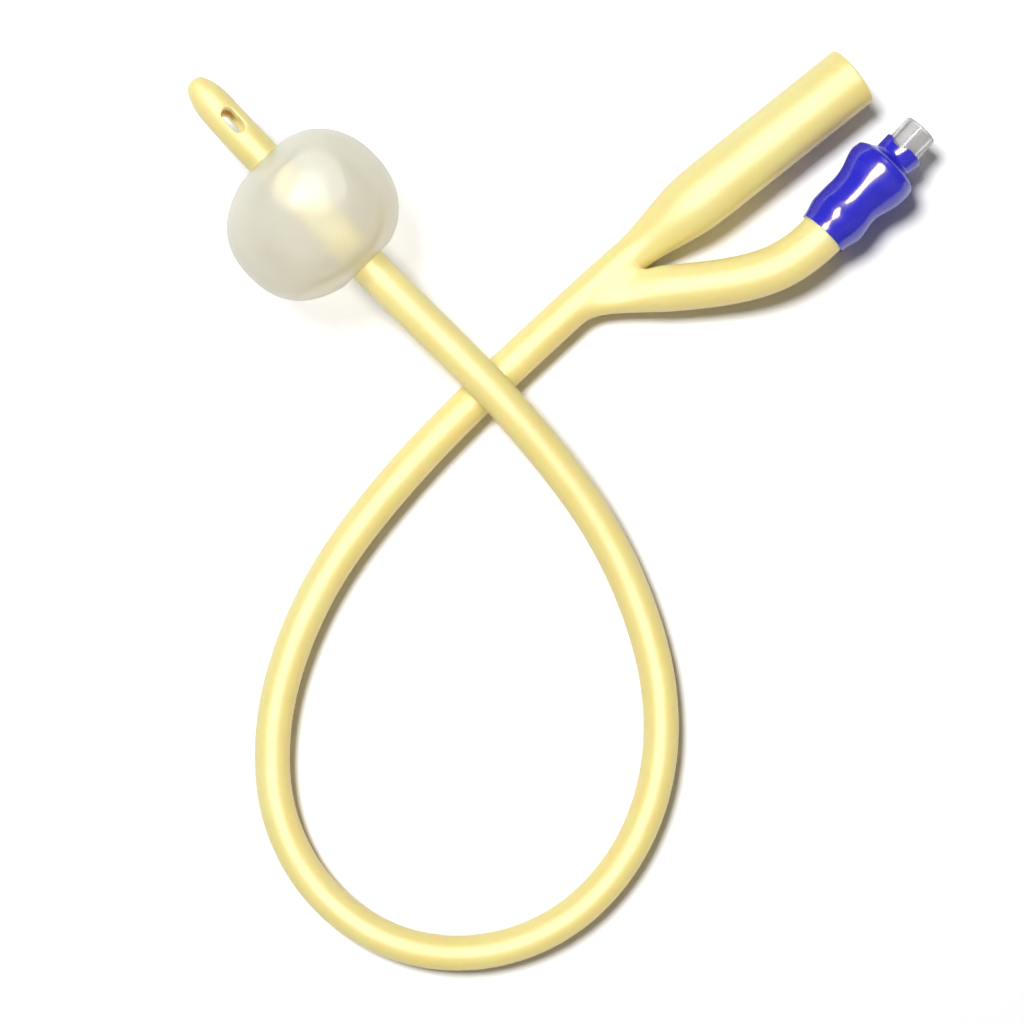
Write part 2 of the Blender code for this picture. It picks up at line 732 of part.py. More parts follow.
def build_housing(parts):
    clear = material("clear_plastic", (0.82, 0.83, 0.84), 0.08, alpha=0.45)
    luer_end = LUER_MOUTH_RADIUS - LUER_TAPER / 2 * LUER_DEPTH
    rim_round = 0.00020
    flange_top = ARM_MOUTH + FIT_GAP + FLANGE_THICKNESS
    profile = [
        (BARREL_RADIUS - rim_round, VALVE_LENGTH),
        (BARREL_RADIUS, VALVE_LENGTH - rim_round),
        (BARREL_RADIUS, flange_top + FLANGE_CONE),
        (HOUSING_FLANGE_RADIUS, flange_top),
        (HOUSING_FLANGE_RADIUS, ARM_MOUTH + FIT_GAP),
        (HOUSING_HEAD_RADIUS, ARM_MOUTH + FIT_GAP),
        (HOUSING_HEAD_RADIUS, ARM_MOUTH - HEAD_DEPTH),
        (HOUSING_RADIUS, ARM_MOUTH - HEAD_DEPTH - HEAD_CONE),
        (HOUSING_RADIUS, HOUSING_BOTTOM),
        (CHAMBER_RADIUS, HOUSING_BOTTOM),
        (CHAMBER_RADIUS, SEAT_BOTTOM),
        (THROAT_RADIUS, SEAT_BOTTOM),
        (THROAT_RADIUS, SEAT_TOP),
        (luer_end, SEAT_TOP),
        (LUER_MOUTH_RADIUS, VALVE_LENGTH),
    ]
    return turned("valve_housing", profile, parts, clear)


def build_base(parts):
    """The barbed connector: it closes the chamber and carries the spring."""
    white = material("base_plastic", (0.86, 0.86, 0.84), 0.4)
    bottom = HOUSING_BOTTOM - BASE_FLANGE_THICKNESS
    profile = [
        (CHAMBER_RADIUS - FIT_GAP, PLUG_TOP),
        (CHAMBER_RADIUS - FIT_GAP, HOUSING_BOTTOM - SEAT_GAP),
        (HOUSING_RADIUS, HOUSING_BOTTOM - SEAT_GAP),
        (HOUSING_RADIUS, bottom),
        (TAIL_RADIUS, bottom),
        *barb_profile()[::-1],
        (BASE_BORE_RADIUS, bottom - TAIL_LENGTH),
        (BASE_BORE_RADIUS, PLUG_TOP),
    ]
    return turned("valve_base", profile, parts, white)


SEAL_TOP = SEAT_BOTTOM - SEAT_GAP
SEAL_BOTTOM = SEAL_TOP - SEAL_THICKNESS
POPPET_TOP = SEAL_BOTTOM - SEAT_GAP
POPPET_BOTTOM = POPPET_TOP - POPPET_THICKNESS


def build_plunger(parts, cutters, valve_axis):
    """A stem that a syringe tip pushes, with a poppet under the seat and a guide for the spring."""
    white = material("plunger_plastic", (0.90, 0.90, 0.88), 0.35)
    stem_top = VALVE_LENGTH - STEM_TOP_DEPTH
    round_off = 0.00025
    profile = [
        (0.0, stem_top),
        (STEM_RADIUS - round_off, stem_top),
        (STEM_RADIUS, stem_top - round_off),
        (STEM_RADIUS, POPPET_TOP),
        (POPPET_RADIUS, POPPET_TOP),
        (POPPET_RADIUS, POPPET_BOTTOM),
        (GUIDE_RADIUS, POPPET_BOTTOM),
        (GUIDE_RADIUS, POPPET_BOTTOM - GUIDE_LENGTH + round_off),
        (GUIDE_RADIUS - round_off, POPPET_BOTTOM - GUIDE_LENGTH),
        (0.0, POPPET_BOTTOM - GUIDE_LENGTH),
    ]
    plunger = turned("valve_plunger", profile, parts, white, closed=False)
    # Water flows past the stem through four flutes, down to just above the seal.
    flute_bottom = SEAL_TOP + 0.0002
    for side in range(4):
        bm = bmesh.new()
        bmesh.ops.create_cube(bm, size=1.0)
        height = stem_top + 0.001 - flute_bottom
        bmesh.ops.scale(bm, verts=bm.verts, vec=(2 * FLUTE_DEPTH, FLUTE_WIDTH, height))
        place = Matrix.Rotation(math.pi / 2 * side, 4, "Z")
        place @= Matrix.Translation((STEM_RADIUS, 0, flute_bottom + height / 2))
        bmesh.ops.transform(bm, verts=bm.verts, matrix=place)
        flute = as_cutter(mesh_object(f"stem_flute_{side + 1}", bm, cutters))
        flute.parent = valve_axis
        cut(plunger, flute)
    return plunger


def build_seal(parts):
    rubber = material("seal_rubber", (0.05, 0.05, 0.05), 0.7)
    round_off = 0.00012
    inner = STEM_RADIUS + FIT_GAP
    outer = POPPET_RADIUS
    profile = [
        (outer - round_off, SEAL_TOP),
        (outer, SEAL_TOP - round_off),
        (outer, SEAL_BOTTOM + round_off),
        (outer - round_off, SEAL_BOTTOM),
        (inner, SEAL_BOTTOM),
        (inner, SEAL_TOP),
    ]
    return turned("valve_seal", profile, parts, rubber)


def build_spring(parts):
    steel = material("spring_steel", (0.62, 0.62, 0.63), 0.25, 1.0)
    low = PLUG_TOP + SPRING_WIRE_RADIUS + SEAT_GAP
    high = POPPET_BOTTOM - SPRING_WIRE_RADIUS - SEAT_GAP
    radius = 0.5 * (GUIDE_RADIUS + CHAMBER_RADIUS)
    per_turn = 12
    count = round(SPRING_TURNS * per_turn)
    points = []
    for step in range(count + 1):
        angle = 2 * math.pi * step / per_turn
        # The first and last turns lie nearly flat, so the ends bear on their seats.
        share = smooth(0, 1, step / count)
        points.append((radius * math.cos(angle), radius * math.sin(angle), lerp(low, high, share)))
    return curve_object("valve_spring", points, [SPRING_WIRE_RADIUS] * len(points), parts, steel, 1)


def new_empty(name, collection):
    empty = bpy.data.objects.new(name, None)
    empty.empty_display_size = 0.01
    collection.objects.link(empty)
    return empty


def middle_of(objects):
    """The middle of the objects' box, seen from above."""
    graph = bpy.context.evaluated_depsgraph_get()
    corners = []
    for item in objects:
        evaluated = item.evaluated_get(graph)
        mesh = evaluated.to_mesh()
        corners += [evaluated.matrix_world @ vertex.co for vertex in mesh.vertices]
        evaluated.to_mesh_clear()
    lows = [min(corner[axis] for corner in corners) for axis in range(3)]
    highs = [max(corner[axis] for corner in corners) for axis in range(3)]
    return Vector(((lows[0] + highs[0]) / 2, (lows[1] + highs[1]) / 2, lows[2]))


def main():
    remove_everything()
    parts = new_collection("urinary_catheter")
    cutters = new_collection("cutters")
    origin = new_empty("catheter_origin", parts)
    valve_axis = new_empty("valve_axis", parts)
    valve_axis.matrix_world = Matrix.Translation(VALVE_ORIGIN) @ (
        VALVE_AXIS.to_track_quat("Z", "Y").to_matrix().to_4x4()
    )
    body = build_body(parts, cutters, valve_axis)
    balloon = build_balloon(parts)
    valve = [
        build_sleeve(parts),
        build_housing(parts),
        build_base(parts),
        build_plunger(parts, cutters, valve_axis),
        build_seal(parts),
        build_spring(parts),
    ]
    for piece in valve:
        piece.parent = valve_axis
    bpy.context.view_layer.update()
    shift = middle_of([body, balloon, *valve])
    for item in list(parts.objects) + list(cutters.objects):
        if item is not origin and item.parent is None:
            item.parent = origin
    origin.location = -shift


main()
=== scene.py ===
"""The catheter's looks: latex body, frosted balloon, blue sleeve and clear valve.

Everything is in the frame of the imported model, in metres, +Z up.
"""

import json
import math

import bmesh
import bpy
from mathutils import Matrix, Vector

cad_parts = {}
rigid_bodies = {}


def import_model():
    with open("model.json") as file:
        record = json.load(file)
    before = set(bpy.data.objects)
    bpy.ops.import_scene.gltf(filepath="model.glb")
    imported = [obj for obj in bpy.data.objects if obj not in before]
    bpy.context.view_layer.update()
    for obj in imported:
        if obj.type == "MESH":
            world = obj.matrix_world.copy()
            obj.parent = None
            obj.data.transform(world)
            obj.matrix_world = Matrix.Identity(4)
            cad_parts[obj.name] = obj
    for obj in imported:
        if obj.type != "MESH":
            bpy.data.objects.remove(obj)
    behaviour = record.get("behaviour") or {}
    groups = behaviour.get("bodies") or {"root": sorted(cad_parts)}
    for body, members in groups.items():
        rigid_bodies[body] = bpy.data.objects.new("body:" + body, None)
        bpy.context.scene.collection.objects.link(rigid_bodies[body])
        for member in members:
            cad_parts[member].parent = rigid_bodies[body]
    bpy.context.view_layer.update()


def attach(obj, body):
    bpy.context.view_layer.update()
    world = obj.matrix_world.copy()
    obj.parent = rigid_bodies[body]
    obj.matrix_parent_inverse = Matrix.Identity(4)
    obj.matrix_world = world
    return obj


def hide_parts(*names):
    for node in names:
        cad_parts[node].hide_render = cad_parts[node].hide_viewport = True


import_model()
scene = bpy.context.scene
UP = Vector((0, 0, 1))

# The part's own sizes, in metres, as its source has them.
TIP_RADIUS = 0.00308
BALLOON_END_RADIUS = 0.00320
SHAFT_RADIUS = 0.00297
FORK_RADIUS = 0.00318
NOSE_LENGTH = 0.0058
NOSE_FULLNESS = 2.0
DRAIN_LUMEN_RADIUS = 0.00145
DRAIN_LUMEN_OFFSET = 0.00035
EYE_DISTANCE = 0.0096
EYE_LENGTH = 0.0046
EYE_WIDTH = 0.0021
EYE_LIP = 0.00045
EYE_TILT = math.radians(15)
FUNNEL_RADIUS = 0.00538
FUNNEL_WALL = 0.00120
SOCKET_TAPER = 0.00010
FUNNEL_LENGTH = 0.0330
FLARE_LENGTH = 0.0150
RIM_ROUND = 0.00035
CROTCH_DISTANCE = 0.0483
FORK_LENGTH = 0.0106
ARM_RADIUS = 0.00395
ARM_LUMEN_RADIUS = 0.00090
BALLOON_RADIUS = 0.0144
BALLOON_HALF_LENGTH = 0.0125
BALLOON_SQUARENESS = 2.3
BALLOON_WALL = 0.00045
BALLOON_DIMPLE = 0.0011
BALLOON_DIMPLE_RADIUS = 0.0054
BALLOON_CUFF_LENGTH = 0.0022
BALLOON_ECCENTRICITY = 0.00090
BALLOON_FROM_TIP = 0.0294
BALLOON_HEADING = math.radians(-84.0)
BALLOON_SLOPE = math.radians(-6.5)
STRAIGHT_RUN = 0.0360
LEAN_LIFT = 0.0001
TIP_SWAY = 0.0006
TIP_DROOP = 0.0006
VALVE_LENGTH = 0.0240
VALVE_HEADING = math.radians(7.9)
SLEEVE_LENGTH = 0.0196
SLEEVE_WALL = 0.00035
SLEEVE_FOOT = 0.0036
SLEEVE_FOOT_RADIUS = 0.00517
SLEEVE_WAIST = 0.0076
SLEEVE_WAIST_RADIUS = 0.00490
SLEEVE_BULGE_RADIUS = 0.00618
BULGE_PAST_MOUTH = 0.0006
SHOULDER_PAST_MOUTH = 0.0018
NECK_PAST_MOUTH = 0.0037
ARM_MOUTH = 0.0134
BARREL_RADIUS = 0.00305
LUER_MOUTH_RADIUS = 0.002135
LUER_TAPER = 0.06
LUER_DEPTH = 0.0075
SEAT_THICKNESS = 0.0009
THROAT_RADIUS = 0.00150
CHAMBER_RADIUS = 0.00250
HOUSING_RADIUS = 0.00345
HOUSING_HEAD_RADIUS = 0.00440
HOUSING_FLANGE_RADIUS = 0.00520
FLANGE_THICKNESS = 0.0014
FLANGE_CONE = 0.0018
HEAD_DEPTH = 0.0014
HEAD_CONE = 0.0026
HOUSING_BOTTOM = 0.0070
BASE_FLANGE_THICKNESS = 0.0010
BASE_PLUG_LENGTH = 0.0020
BASE_BORE_RADIUS = 0.00080
TAIL_RADIUS = 0.00150
TAIL_BARB = 0.00035
TAIL_BARBS = 3
TAIL_LENGTH = 0.0050
STEM_RADIUS = 0.00115
STEM_TOP_DEPTH = 0.0050
FLUTE_WIDTH = 0.00060
FLUTE_DEPTH = 0.00050
POPPET_RADIUS = 0.00205
POPPET_THICKNESS = 0.0008
SEAL_THICKNESS = 0.0008
GUIDE_LENGTH = 0.0020
GUIDE_RADIUS = 0.00095
SPRING_WIRE_RADIUS = 0.00016
SPRING_TURNS = 4.5
FIT_GAP = 0.00012
REST_GAP = 0.00030
SEAT_GAP = 0.00005

# Fineness.
REACH = 0.0006
CAGE_SIDES = 8
CAGE_LEVELS = 3
CAGE_SPACING = 0.0064
LUMEN_SPACING = 0.0030
TURN_STEPS = 96
BALLOON_TURN_STEPS = 128
BORE_SIDES = 40
# A ring of eight corners comes out this much smaller on the subdivided surface.
CAGE_SHRINK = 0.9018

# The frame's place over the drawing that the routes below are measured in.
ORIGIN = Vector((0.020094, 0.008873, 0.000012))


def heading_vector(heading, slope=0.0):
    level = math.cos(slope)
    return Vector((level * math.cos(heading), level * math.sin(heading), math.sin(slope)))


BALLOON_LIFT = BALLOON_RADIUS - BALLOON_END_RADIUS + LEAN_LIFT
CROSSING_LIFT = 2 * FORK_RADIUS + REST_GAP
BALLOON_CENTRE = Vector((-0.0274, 0.0373, 0))
BALLOON_AXIS = heading_vector(BALLOON_HEADING, BALLOON_SLOPE)


def balloon_run(distance):
    """A point on the straight stretch of shaft inside the balloon, with its lift."""
    return BALLOON_CENTRE + BALLOON_AXIS * distance + UP * BALLOON_LIFT


def on_table(x, y, lift=0.0):
    return Vector((x, y, lift))


SHAFT_ROUTE = [
    balloon_run(-BALLOON_FROM_TIP) + Vector((TIP_SWAY, 0, -TIP_DROOP)),
    balloon_run(-STRAIGHT_RUN / 2),
    balloon_run(-STRAIGHT_RUN / 4),
    balloon_run(0.0),
    balloon_run(STRAIGHT_RUN / 4),
    balloon_run(STRAIGHT_RUN / 2),
    on_table(-0.0243, 0.0092, 1.15 * CROSSING_LIFT),
    on_table(-0.0229, -0.0026, 1.0 * CROSSING_LIFT),
    on_table(-0.0222, -0.0175, 0.62 * CROSSING_LIFT),
    on_table(-0.0229, -0.0324, 0.24 * CROSSING_LIFT),
    on_table(-0.0262, -0.0469, 0.03 * CROSSING_LIFT),
    on_table(-0.0323, -0.0606),
    on_table(-0.0420, -0.0720),
    on_table(-0.0549, -0.0793),
    on_table(-0.0697, -0.0811),
    on_table(-0.0837, -0.0763),
    on_table(-0.0941, -0.0658),
    on_table(-0.0984, -0.0515),
    on_table(-0.0958, -0.0369),
    on_table(-0.0871, -0.0246),
    on_table(-0.0752, -0.0156),
    on_table(-0.0616, -0.0094),
    on_table(-0.0421, -0.0048),
    on_table(-0.0223, -0.0024),
    on_table(-0.0060, -0.0011),
    on_table(0.0060, -0.0003),
    on_table(0.0170, 0.0),
    on_table(0.0280, 0.0),
    on_table(0.0575, 0.0),
]
VALVE_START = Vector((0.0368, -0.0175, 0))
ARM_ROUTE = [
    (0.0020, -0.0021),
    (0.0074, -0.0059),
    (0.0127, -0.0096),
    (0.0174, -0.0126),
    (0.0223, -0.0154),
    (0.0276, -0.0174),
    (0.0324, -0.0180),
]


class Path:
    """A smooth curve through points, read by the distance along it."""

    SAMPLES = 24

    def __init__(self, points):
        points = [Vector(point) for point in points]
        ends = [2 * points[0] - points[1]] + points + [2 * points[-1] - points[-2]]
        self.points = [points[0]]
        for index in range(1, len(ends) - 2):
            for step in range(1, self.SAMPLES + 1):
                self.points.append(self.between(ends[index - 1:index + 3], step / self.SAMPLES))
        self.distances = [0.0]
        for before, after in zip(self.points, self.points[1:]):
            self.distances.append(self.distances[-1] + (after - before).length)
        self.length = self.distances[-1]

    @staticmethod
    def between(four, share):
        knots = [0.0]
        for before, after in zip(four, four[1:]):
            knots.append(knots[-1] + math.sqrt((after - before).length))
        at = knots[1] + share * (knots[2] - knots[1])

        def mix(low, high, start, end):
            return low.lerp(high, (at - start) / (end - start))

        first = [mix(four[k], four[k + 1], knots[k], knots[k + 1]) for k in range(3)]
        second = [mix(first[k], first[k + 1], knots[k], knots[k + 2]) for k in range(2)]
        return mix(second[0], second[1], knots[1], knots[2])

    def at(self, distance):
        last = len(self.points) - 1
        index = 1
        while index < last and self.distances[index] < distance:
            index += 1
        start, end = self.distances[index - 1], self.distances[index]
        return self.points[index - 1].lerp(self.points[index], (distance - start) / (end - start))

    def direction(self, distance):
        return (self.at(distance + REACH) - self.at(distance - REACH)).normalized()


def lerp(start, end, share):
    return start + (end - start) * min(max(share, 0.0), 1.0)


def smooth(start, end, share):
    share = min(max(share, 0.0), 1.0)
    return lerp(start, end, share * share * (3 - 2 * share))


def through_stations(stations, distance):
    for (near, low), (far, high) in zip(stations, stations[1:]):
        if distance <= far:
            return smooth(low, high, (distance - near) / (far - near))
    return stations[-1][1]


SHAFT_PATH = Path([ORIGIN + point for point in SHAFT_ROUTE])
MOUTH = SHAFT_PATH.length
FORK_START = MOUTH - CROTCH_DISTANCE - FORK_LENGTH
FLARE_START = MOUTH - FUNNEL_LENGTH - FLARE_LENGTH
FLARE_END = MOUTH - FUNNEL_LENGTH


def shaft_radius(distance):
    if distance < NOSE_LENGTH:
        share = 1 - max(distance, 0.0) / NOSE_LENGTH
        return TIP_RADIUS * (1 - share ** NOSE_FULLNESS) ** (1 / NOSE_FULLNESS)
    stations = [
        (0.025 * MOUTH, TIP_RADIUS),
        (0.113 * MOUTH, BALLOON_END_RADIUS),
        (0.40 * MOUTH, SHAFT_RADIUS),
        (0.60 * MOUTH, SHAFT_RADIUS),
        (0.776 * MOUTH, FORK_RADIUS),
        (FLARE_START, FORK_RADIUS),
        (FLARE_END, FUNNEL_RADIUS),
    ]
    return through_stations(stations, distance)


def drain_radius(distance):
    socket = FUNNEL_RADIUS - FUNNEL_WALL
    stations = [
        (FORK_START, DRAIN_LUMEN_RADIUS),
        (FLARE_START + 0.002, DRAIN_LUMEN_RADIUS * 1.15),
        (FLARE_END + 0.001, socket - SOCKET_TAPER),
        (MOUTH, socket),
    ]
    return through_stations(stations, distance)


def shaft_point(distance):
    return SHAFT_PATH.at(distance) + UP * shaft_radius(max(distance, NOSE_LENGTH))


def shaft_direction(distance):
    return (shaft_point(distance + REACH) - shaft_point(distance - REACH)).normalized()


VALVE_AXIS = heading_vector(VALVE_HEADING)
VALVE_ORIGIN = ORIGIN + VALVE_START + UP * SLEEVE_BULGE_RADIUS
VALVE_TURN = VALVE_AXIS.to_track_quat("Z", "Y").to_matrix().to_4x4()
VALVE_PLACE = Matrix.Translation(VALVE_ORIGIN) @ VALVE_TURN


def arm_path():
    points = []
    for index, (x, y) in enumerate(ARM_ROUTE):
        height = smooth(ARM_RADIUS, SLEEVE_BULGE_RADIUS, index / len(ARM_ROUTE))
        points.append(ORIGIN + Vector((x, y, height)))
    points.append(VALVE_ORIGIN)
    points.append(VALVE_ORIGIN + VALVE_AXIS * ARM_MOUTH / 2)
    points.append(VALVE_ORIGIN + VALVE_AXIS * ARM_MOUTH)
    return Path(points)


ARM_PATH = arm_path()
ARM_END = ARM_PATH.length
ARM_AT_SLEEVE = ARM_END - ARM_MOUTH


def sleeve_radius(distance):
    neck = BARREL_RADIUS + SLEEVE_WALL + FIT_GAP
    stations = [
        (0.0, ARM_RADIUS + SLEEVE_WALL + FIT_GAP),
        (SLEEVE_FOOT, SLEEVE_FOOT_RADIUS),
        (SLEEVE_WAIST, SLEEVE_WAIST_RADIUS),
        (ARM_MOUTH + BULGE_PAST_MOUTH, SLEEVE_BULGE_RADIUS),
        (ARM_MOUTH + SHOULDER_PAST_MOUTH, 0.97 * SLEEVE_BULGE_RADIUS),
        (ARM_MOUTH + NECK_PAST_MOUTH, neck),
        (SLEEVE_LENGTH, neck),
    ]
    return through_stations(stations, distance)


def arm_radius(distance):
    under = distance - ARM_AT_SLEEVE
    if under <= 0:
        return ARM_RADIUS
    return sleeve_radius(under) - SLEEVE_WALL - 2 * FIT_GAP


def across(direction):
    left = UP.cross(direction).normalized()
    return left, direction.cross(left).normalized()


def even_steps(start, end, spacing):
    count = max(1, round((end - start) / spacing))
    return [start + (end - start) * step / count for step in range(count + 1)]


# Mesh helpers.
parts = bpy.data.collections.new("catheter_looks")
scene.collection.children.link(parts)


def mesh_object(name, bm, colour=None):
    mesh = bpy.data.meshes.new(name)
    bm.to_mesh(mesh)
    bm.free()
    mesh.shade_smooth()
    made = bpy.data.objects.new(name, mesh)
    parts.objects.link(made)
    if colour is not None:
        mesh.materials.append(colour)
    return made


def settle(piece, place=None):
    """Applies the modifiers and the place, so the object sits at the origin."""
    bpy.context.view_layer.update()
    graph = bpy.context.evaluated_depsgraph_get()
    mesh = bpy.data.meshes.new_from_object(piece.evaluated_get(graph))
    mesh.transform(place @ piece.matrix_world if place else piece.matrix_world)
    piece.modifiers.clear()
    piece.matrix_world = Matrix.Identity(4)
    old = piece.data
    piece.data = mesh
    bpy.data.meshes.remove(old)
    mesh.name = piece.name
    return piece


def cut(target, cutter):
    modifier = target.modifiers.new("cut", "BOOLEAN")
    modifier.operation = "DIFFERENCE"
    modifier.solver = "EXACT"
    modifier.object = cutter
    cutter.hide_render = True


def tube_bmesh(points, radii):
    """A closed round tube through points, in mesh form."""
    bm = bmesh.new()
    rings = []
    for index, (point, radius) in enumerate(zip(points, radii)):
        before = points[max(index - 1, 0)]
        after = points[min(index + 1, len(points) - 1)]
        left, over = across((after - before).normalized())
        ring = []
        for side in range(BORE_SIDES):
            angle = 2 * math.pi * side / BORE_SIDES
            spoke = left * math.cos(angle) + over * math.sin(angle)
            ring.append(bm.verts.new(point + spoke * radius))
        rings.append(ring)
    for first, second in zip(rings, rings[1:]):
        bridge(bm, first, second)
    bm.faces.new(rings[0])
    bm.faces.new(rings[-1])
    bmesh.ops.recalc_face_normals(bm, faces=bm.faces)
    return bm


def bridge(bm, first, second):
    for side in range(len(first)):
        after = (side + 1) % len(first)
        corners = [first[side], first[after], second[after], second[side]]
        if None not in corners:
            bm.faces.new(corners)


def thicken(piece, wall):
    """Gives a surface its wall, on the inside."""
    shell = piece.modifiers.new("wall", "SOLIDIFY")
    shell.thickness = wall
    shell.offset = -1
    shell.use_even_offset = True


def turned(name, profile, colour, body, node, closed=True, wall=None):
    """A profile of (radius, height) points turned about the valve's axis."""
    bm = bmesh.new()
    corners = [bm.verts.new((radius, 0, height)) for radius, height in profile]
    for first, second in zip(corners, corners[1:]):
        bm.edges.new((first, second))
    if closed:
        bm.edges.new((corners[-1], corners[0]))
    made = mesh_object(name, bm, colour)
    screw = made.modifiers.new("turn", "SCREW")
    screw.steps = TURN_STEPS
    screw.render_steps = TURN_STEPS
    screw.use_merge_vertices = True
    screw.merge_threshold = 0.00001
    screw.use_smooth_shade = True
    if wall:
        thicken(made, wall)
    settle(made, VALVE_PLACE)
    made.data.set_sharp_from_angle(angle=math.radians(40))
    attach(made, body)
    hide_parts(node)
    return made


def rounded(profile, radius, steps=3):
    """A profile whose corners are rounded off by short chamfers on an arc."""
    made = []
    for index, corner in enumerate(profile):
        here = Vector(corner)
        before = Vector(profile[index - 1]) - here
        after = Vector(profile[(index + 1) % len(profile)]) - here
        reach = min(radius, 0.4 * before.length, 0.4 * after.length)
        straight = before.normalized().dot(after.normalized()) < -0.97
        if here.x < 0.00001 or reach < 0.00002 or straight:
            made.append(corner)
            continue
        start = here + before.normalized() * reach
        end = here + after.normalized() * reach
        for step in range(steps + 1):
            share = step / steps
            point = start.lerp(here, share).lerp(here.lerp(end, share), share)
            made.append((point.x, point.y))
    return made


# Materials.
class Shader:
    """A material's node tree, with short ways to add and join its nodes."""

    def __init__(self, name):
        self.material = bpy.data.materials.new(name)
        self.material.use_nodes = True
        self.nodes = self.material.node_tree.nodes
        self.links = self.material.node_tree.links
        self.principled = self.nodes["Principled BSDF"]
        self.output = self.nodes["Material Output"]
        self.place = self.add("ShaderNodeTexCoord").outputs["Object"]

    def add(self, kind, **settings):
        node = self.nodes.new(kind)
        for key, value in settings.items():
            if key in node.inputs:
                node.inputs[key].default_value = value
            else:
                setattr(node, key, value)
        return node

    def set(self, **values):
        for key, value in values.items():
            self.principled.inputs[key.replace("_", " ")].default_value = value

    def join(self, out, into):
        self.links.new(out, into)

    def feed(self, name, out):
        self.join(out, self.principled.inputs[name])

    def noise(self, scale, detail, roughness=0.5, distortion=0.0):
        node = self.add("ShaderNodeTexNoise")
        node.inputs["Scale"].default_value = scale
        node.inputs["Detail"].default_value = detail
        node.inputs["Roughness"].default_value = roughness
        node.inputs["Distortion"].default_value = distortion
        self.join(self.place, node.inputs["Vector"])
        return node.outputs["Fac"]

    def ramp(self, factor, stops):
        node = self.add("ShaderNodeValToRGB")
        elements = node.color_ramp.elements
        while len(elements) < len(stops):
            elements.new(0.5)
        for element, (at, colour) in zip(elements, stops):
            element.position = at
            element.color = (*colour, 1.0)
        self.join(factor, node.inputs["Fac"])
        return node.outputs["Color"]

    def range(self, factor, low, high, start=0.3, end=0.7):
        node = self.add("ShaderNodeMapRange")
        node.inputs["From Min"].default_value = start
        node.inputs["From Max"].default_value = end
        node.inputs["To Min"].default_value = low
        node.inputs["To Max"].default_value = high
        self.join(factor, node.inputs["Value"])
        return node.outputs["Result"]

    def coat(self, weight, start, roughness):
        """A clear coat that ends towards the rim, from the slant where it starts to fade."""
        slant = self.add("ShaderNodeLayerWeight", Blend=0.5).outputs["Facing"]
        self.feed("Coat Weight", self.range(slant, weight, 0.0, start, 1.0))
        self.set(Coat_Roughness=roughness)

    def near(self, point, inner, outer):
        """1 within a distance of a point, and 0 from a larger one on."""
        node = self.add("ShaderNodeVectorMath", operation="DISTANCE")
        self.join(self.place, node.inputs[0])
        node.inputs[1].default_value = point
        return self.range(node.outputs["Value"], 1.0, 0.0, inner, outer)

    def mix(self, factor, first, second):
        node = self.add("ShaderNodeMix", data_type="RGBA")
        self.join(factor, node.inputs["Factor"])
        self.join(first, node.inputs[6])
        node.inputs[7].default_value = (*second, 1.0)
        return node.outputs[2]

    def bump(self, height, strength, distance, normal=None):
        node = self.add("ShaderNodeBump")
        node.inputs["Strength"].default_value = strength
        node.inputs["Distance"].default_value = distance
        self.join(height, node.inputs["Height"])
        if normal is not None:
            self.join(normal, node.inputs["Normal"])
        return node.outputs["Normal"]


def latex_material():
    shader = Shader("coated_latex")
    stops = [
        (0.25, (0.865, 0.760, 0.300)),
        (0.50, (0.880, 0.785, 0.335)),
        (0.75, (0.895, 0.810, 0.375)),
    ]
    tone = shader.ramp(shader.noise(55, 2), stops)
    shader.feed("Base Color", tone)
    shader.set(Subsurface_Weight=0.80, Subsurface_Scale=0.0015, Subsurface_Radius=(1.0, 0.50, 0.15))
    shader.set(IOR=1.48)
    shader.coat(0.30, 0.70, 0.25)
    shader.feed("Roughness", shader.range(shader.noise(240, 2), 0.32, 0.42))
    ripple = shader.bump(shader.noise(170, 2), 0.10, 0.0002)
    grain = shader.bump(shader.noise(2600, 2), 0.10, 0.00003, ripple)
    shader.feed("Normal", grain)
    return shader.material


# Where the painted golden shade on the balloon's lower cuff is centred, past the balloon's middle.
CUFF_SHADE_PAST_MIDDLE = 0.0118


def film_material():
    shader = Shader("balloon_film")
    stops = [(0.00, (0.842, 0.832, 0.745)), (1.00, (0.882, 0.876, 0.800))]
    tone = shader.ramp(shader.noise(40, 1, 0.4), stops)
    # Painted shade and painted see-through tint: the film is coloured golden at its lower cuff,
    # round a point on the shaft's top, for the shaded crease there and the yellow latex seen
    # through it.
    painted_cuff_shade = shader.near(shaft_point(BALLOON_FROM_TIP + CUFF_SHADE_PAST_MIDDLE), 0.0034, 0.0048)
    shader.feed("Base Color", shader.mix(painted_cuff_shade, tone, (0.80, 0.66, 0.28)))
    shader.set(Transmission_Weight=0.60, IOR=1.12, Roughness=0.28)
    shader.coat(1.0, 0.60, 0.05)
    return shader.material


def sleeve_material():
    shader = Shader("shrunk_blue_film")
    stops = [
        (0.25, (0.018, 0.017, 0.560)),
        (0.60, (0.025, 0.023, 0.640)),
        (0.80, (0.038, 0.034, 0.700)),
    ]
    tone = shader.ramp(shader.noise(150, 3, 0.6), stops)
    shader.feed("Base Color", tone)
    shader.set(IOR=1.5)
    shader.coat(1.0, 0.30, 0.05)
    shader.feed("Roughness", shader.range(shader.noise(300, 2), 0.22, 0.32))
    shader.feed("Normal", shader.bump(shader.noise(330, 2, 0.5, 0.4), 0.20, 0.0003))
    return shader.material


def clear_material():
    shader = Shader("clear_plastic")
    stops = [(0.3, (0.75, 0.75, 0.76)), (0.7, (0.80, 0.80, 0.81))]
    tone = shader.ramp(shader.noise(200, 2), stops)
    shader.feed("Base Color", tone)
    shader.set(Transmission_Weight=0.80, IOR=1.45)
    shader.feed("Roughness", shader.range(shader.noise(400, 2), 0.06, 0.12))
    return shader.material


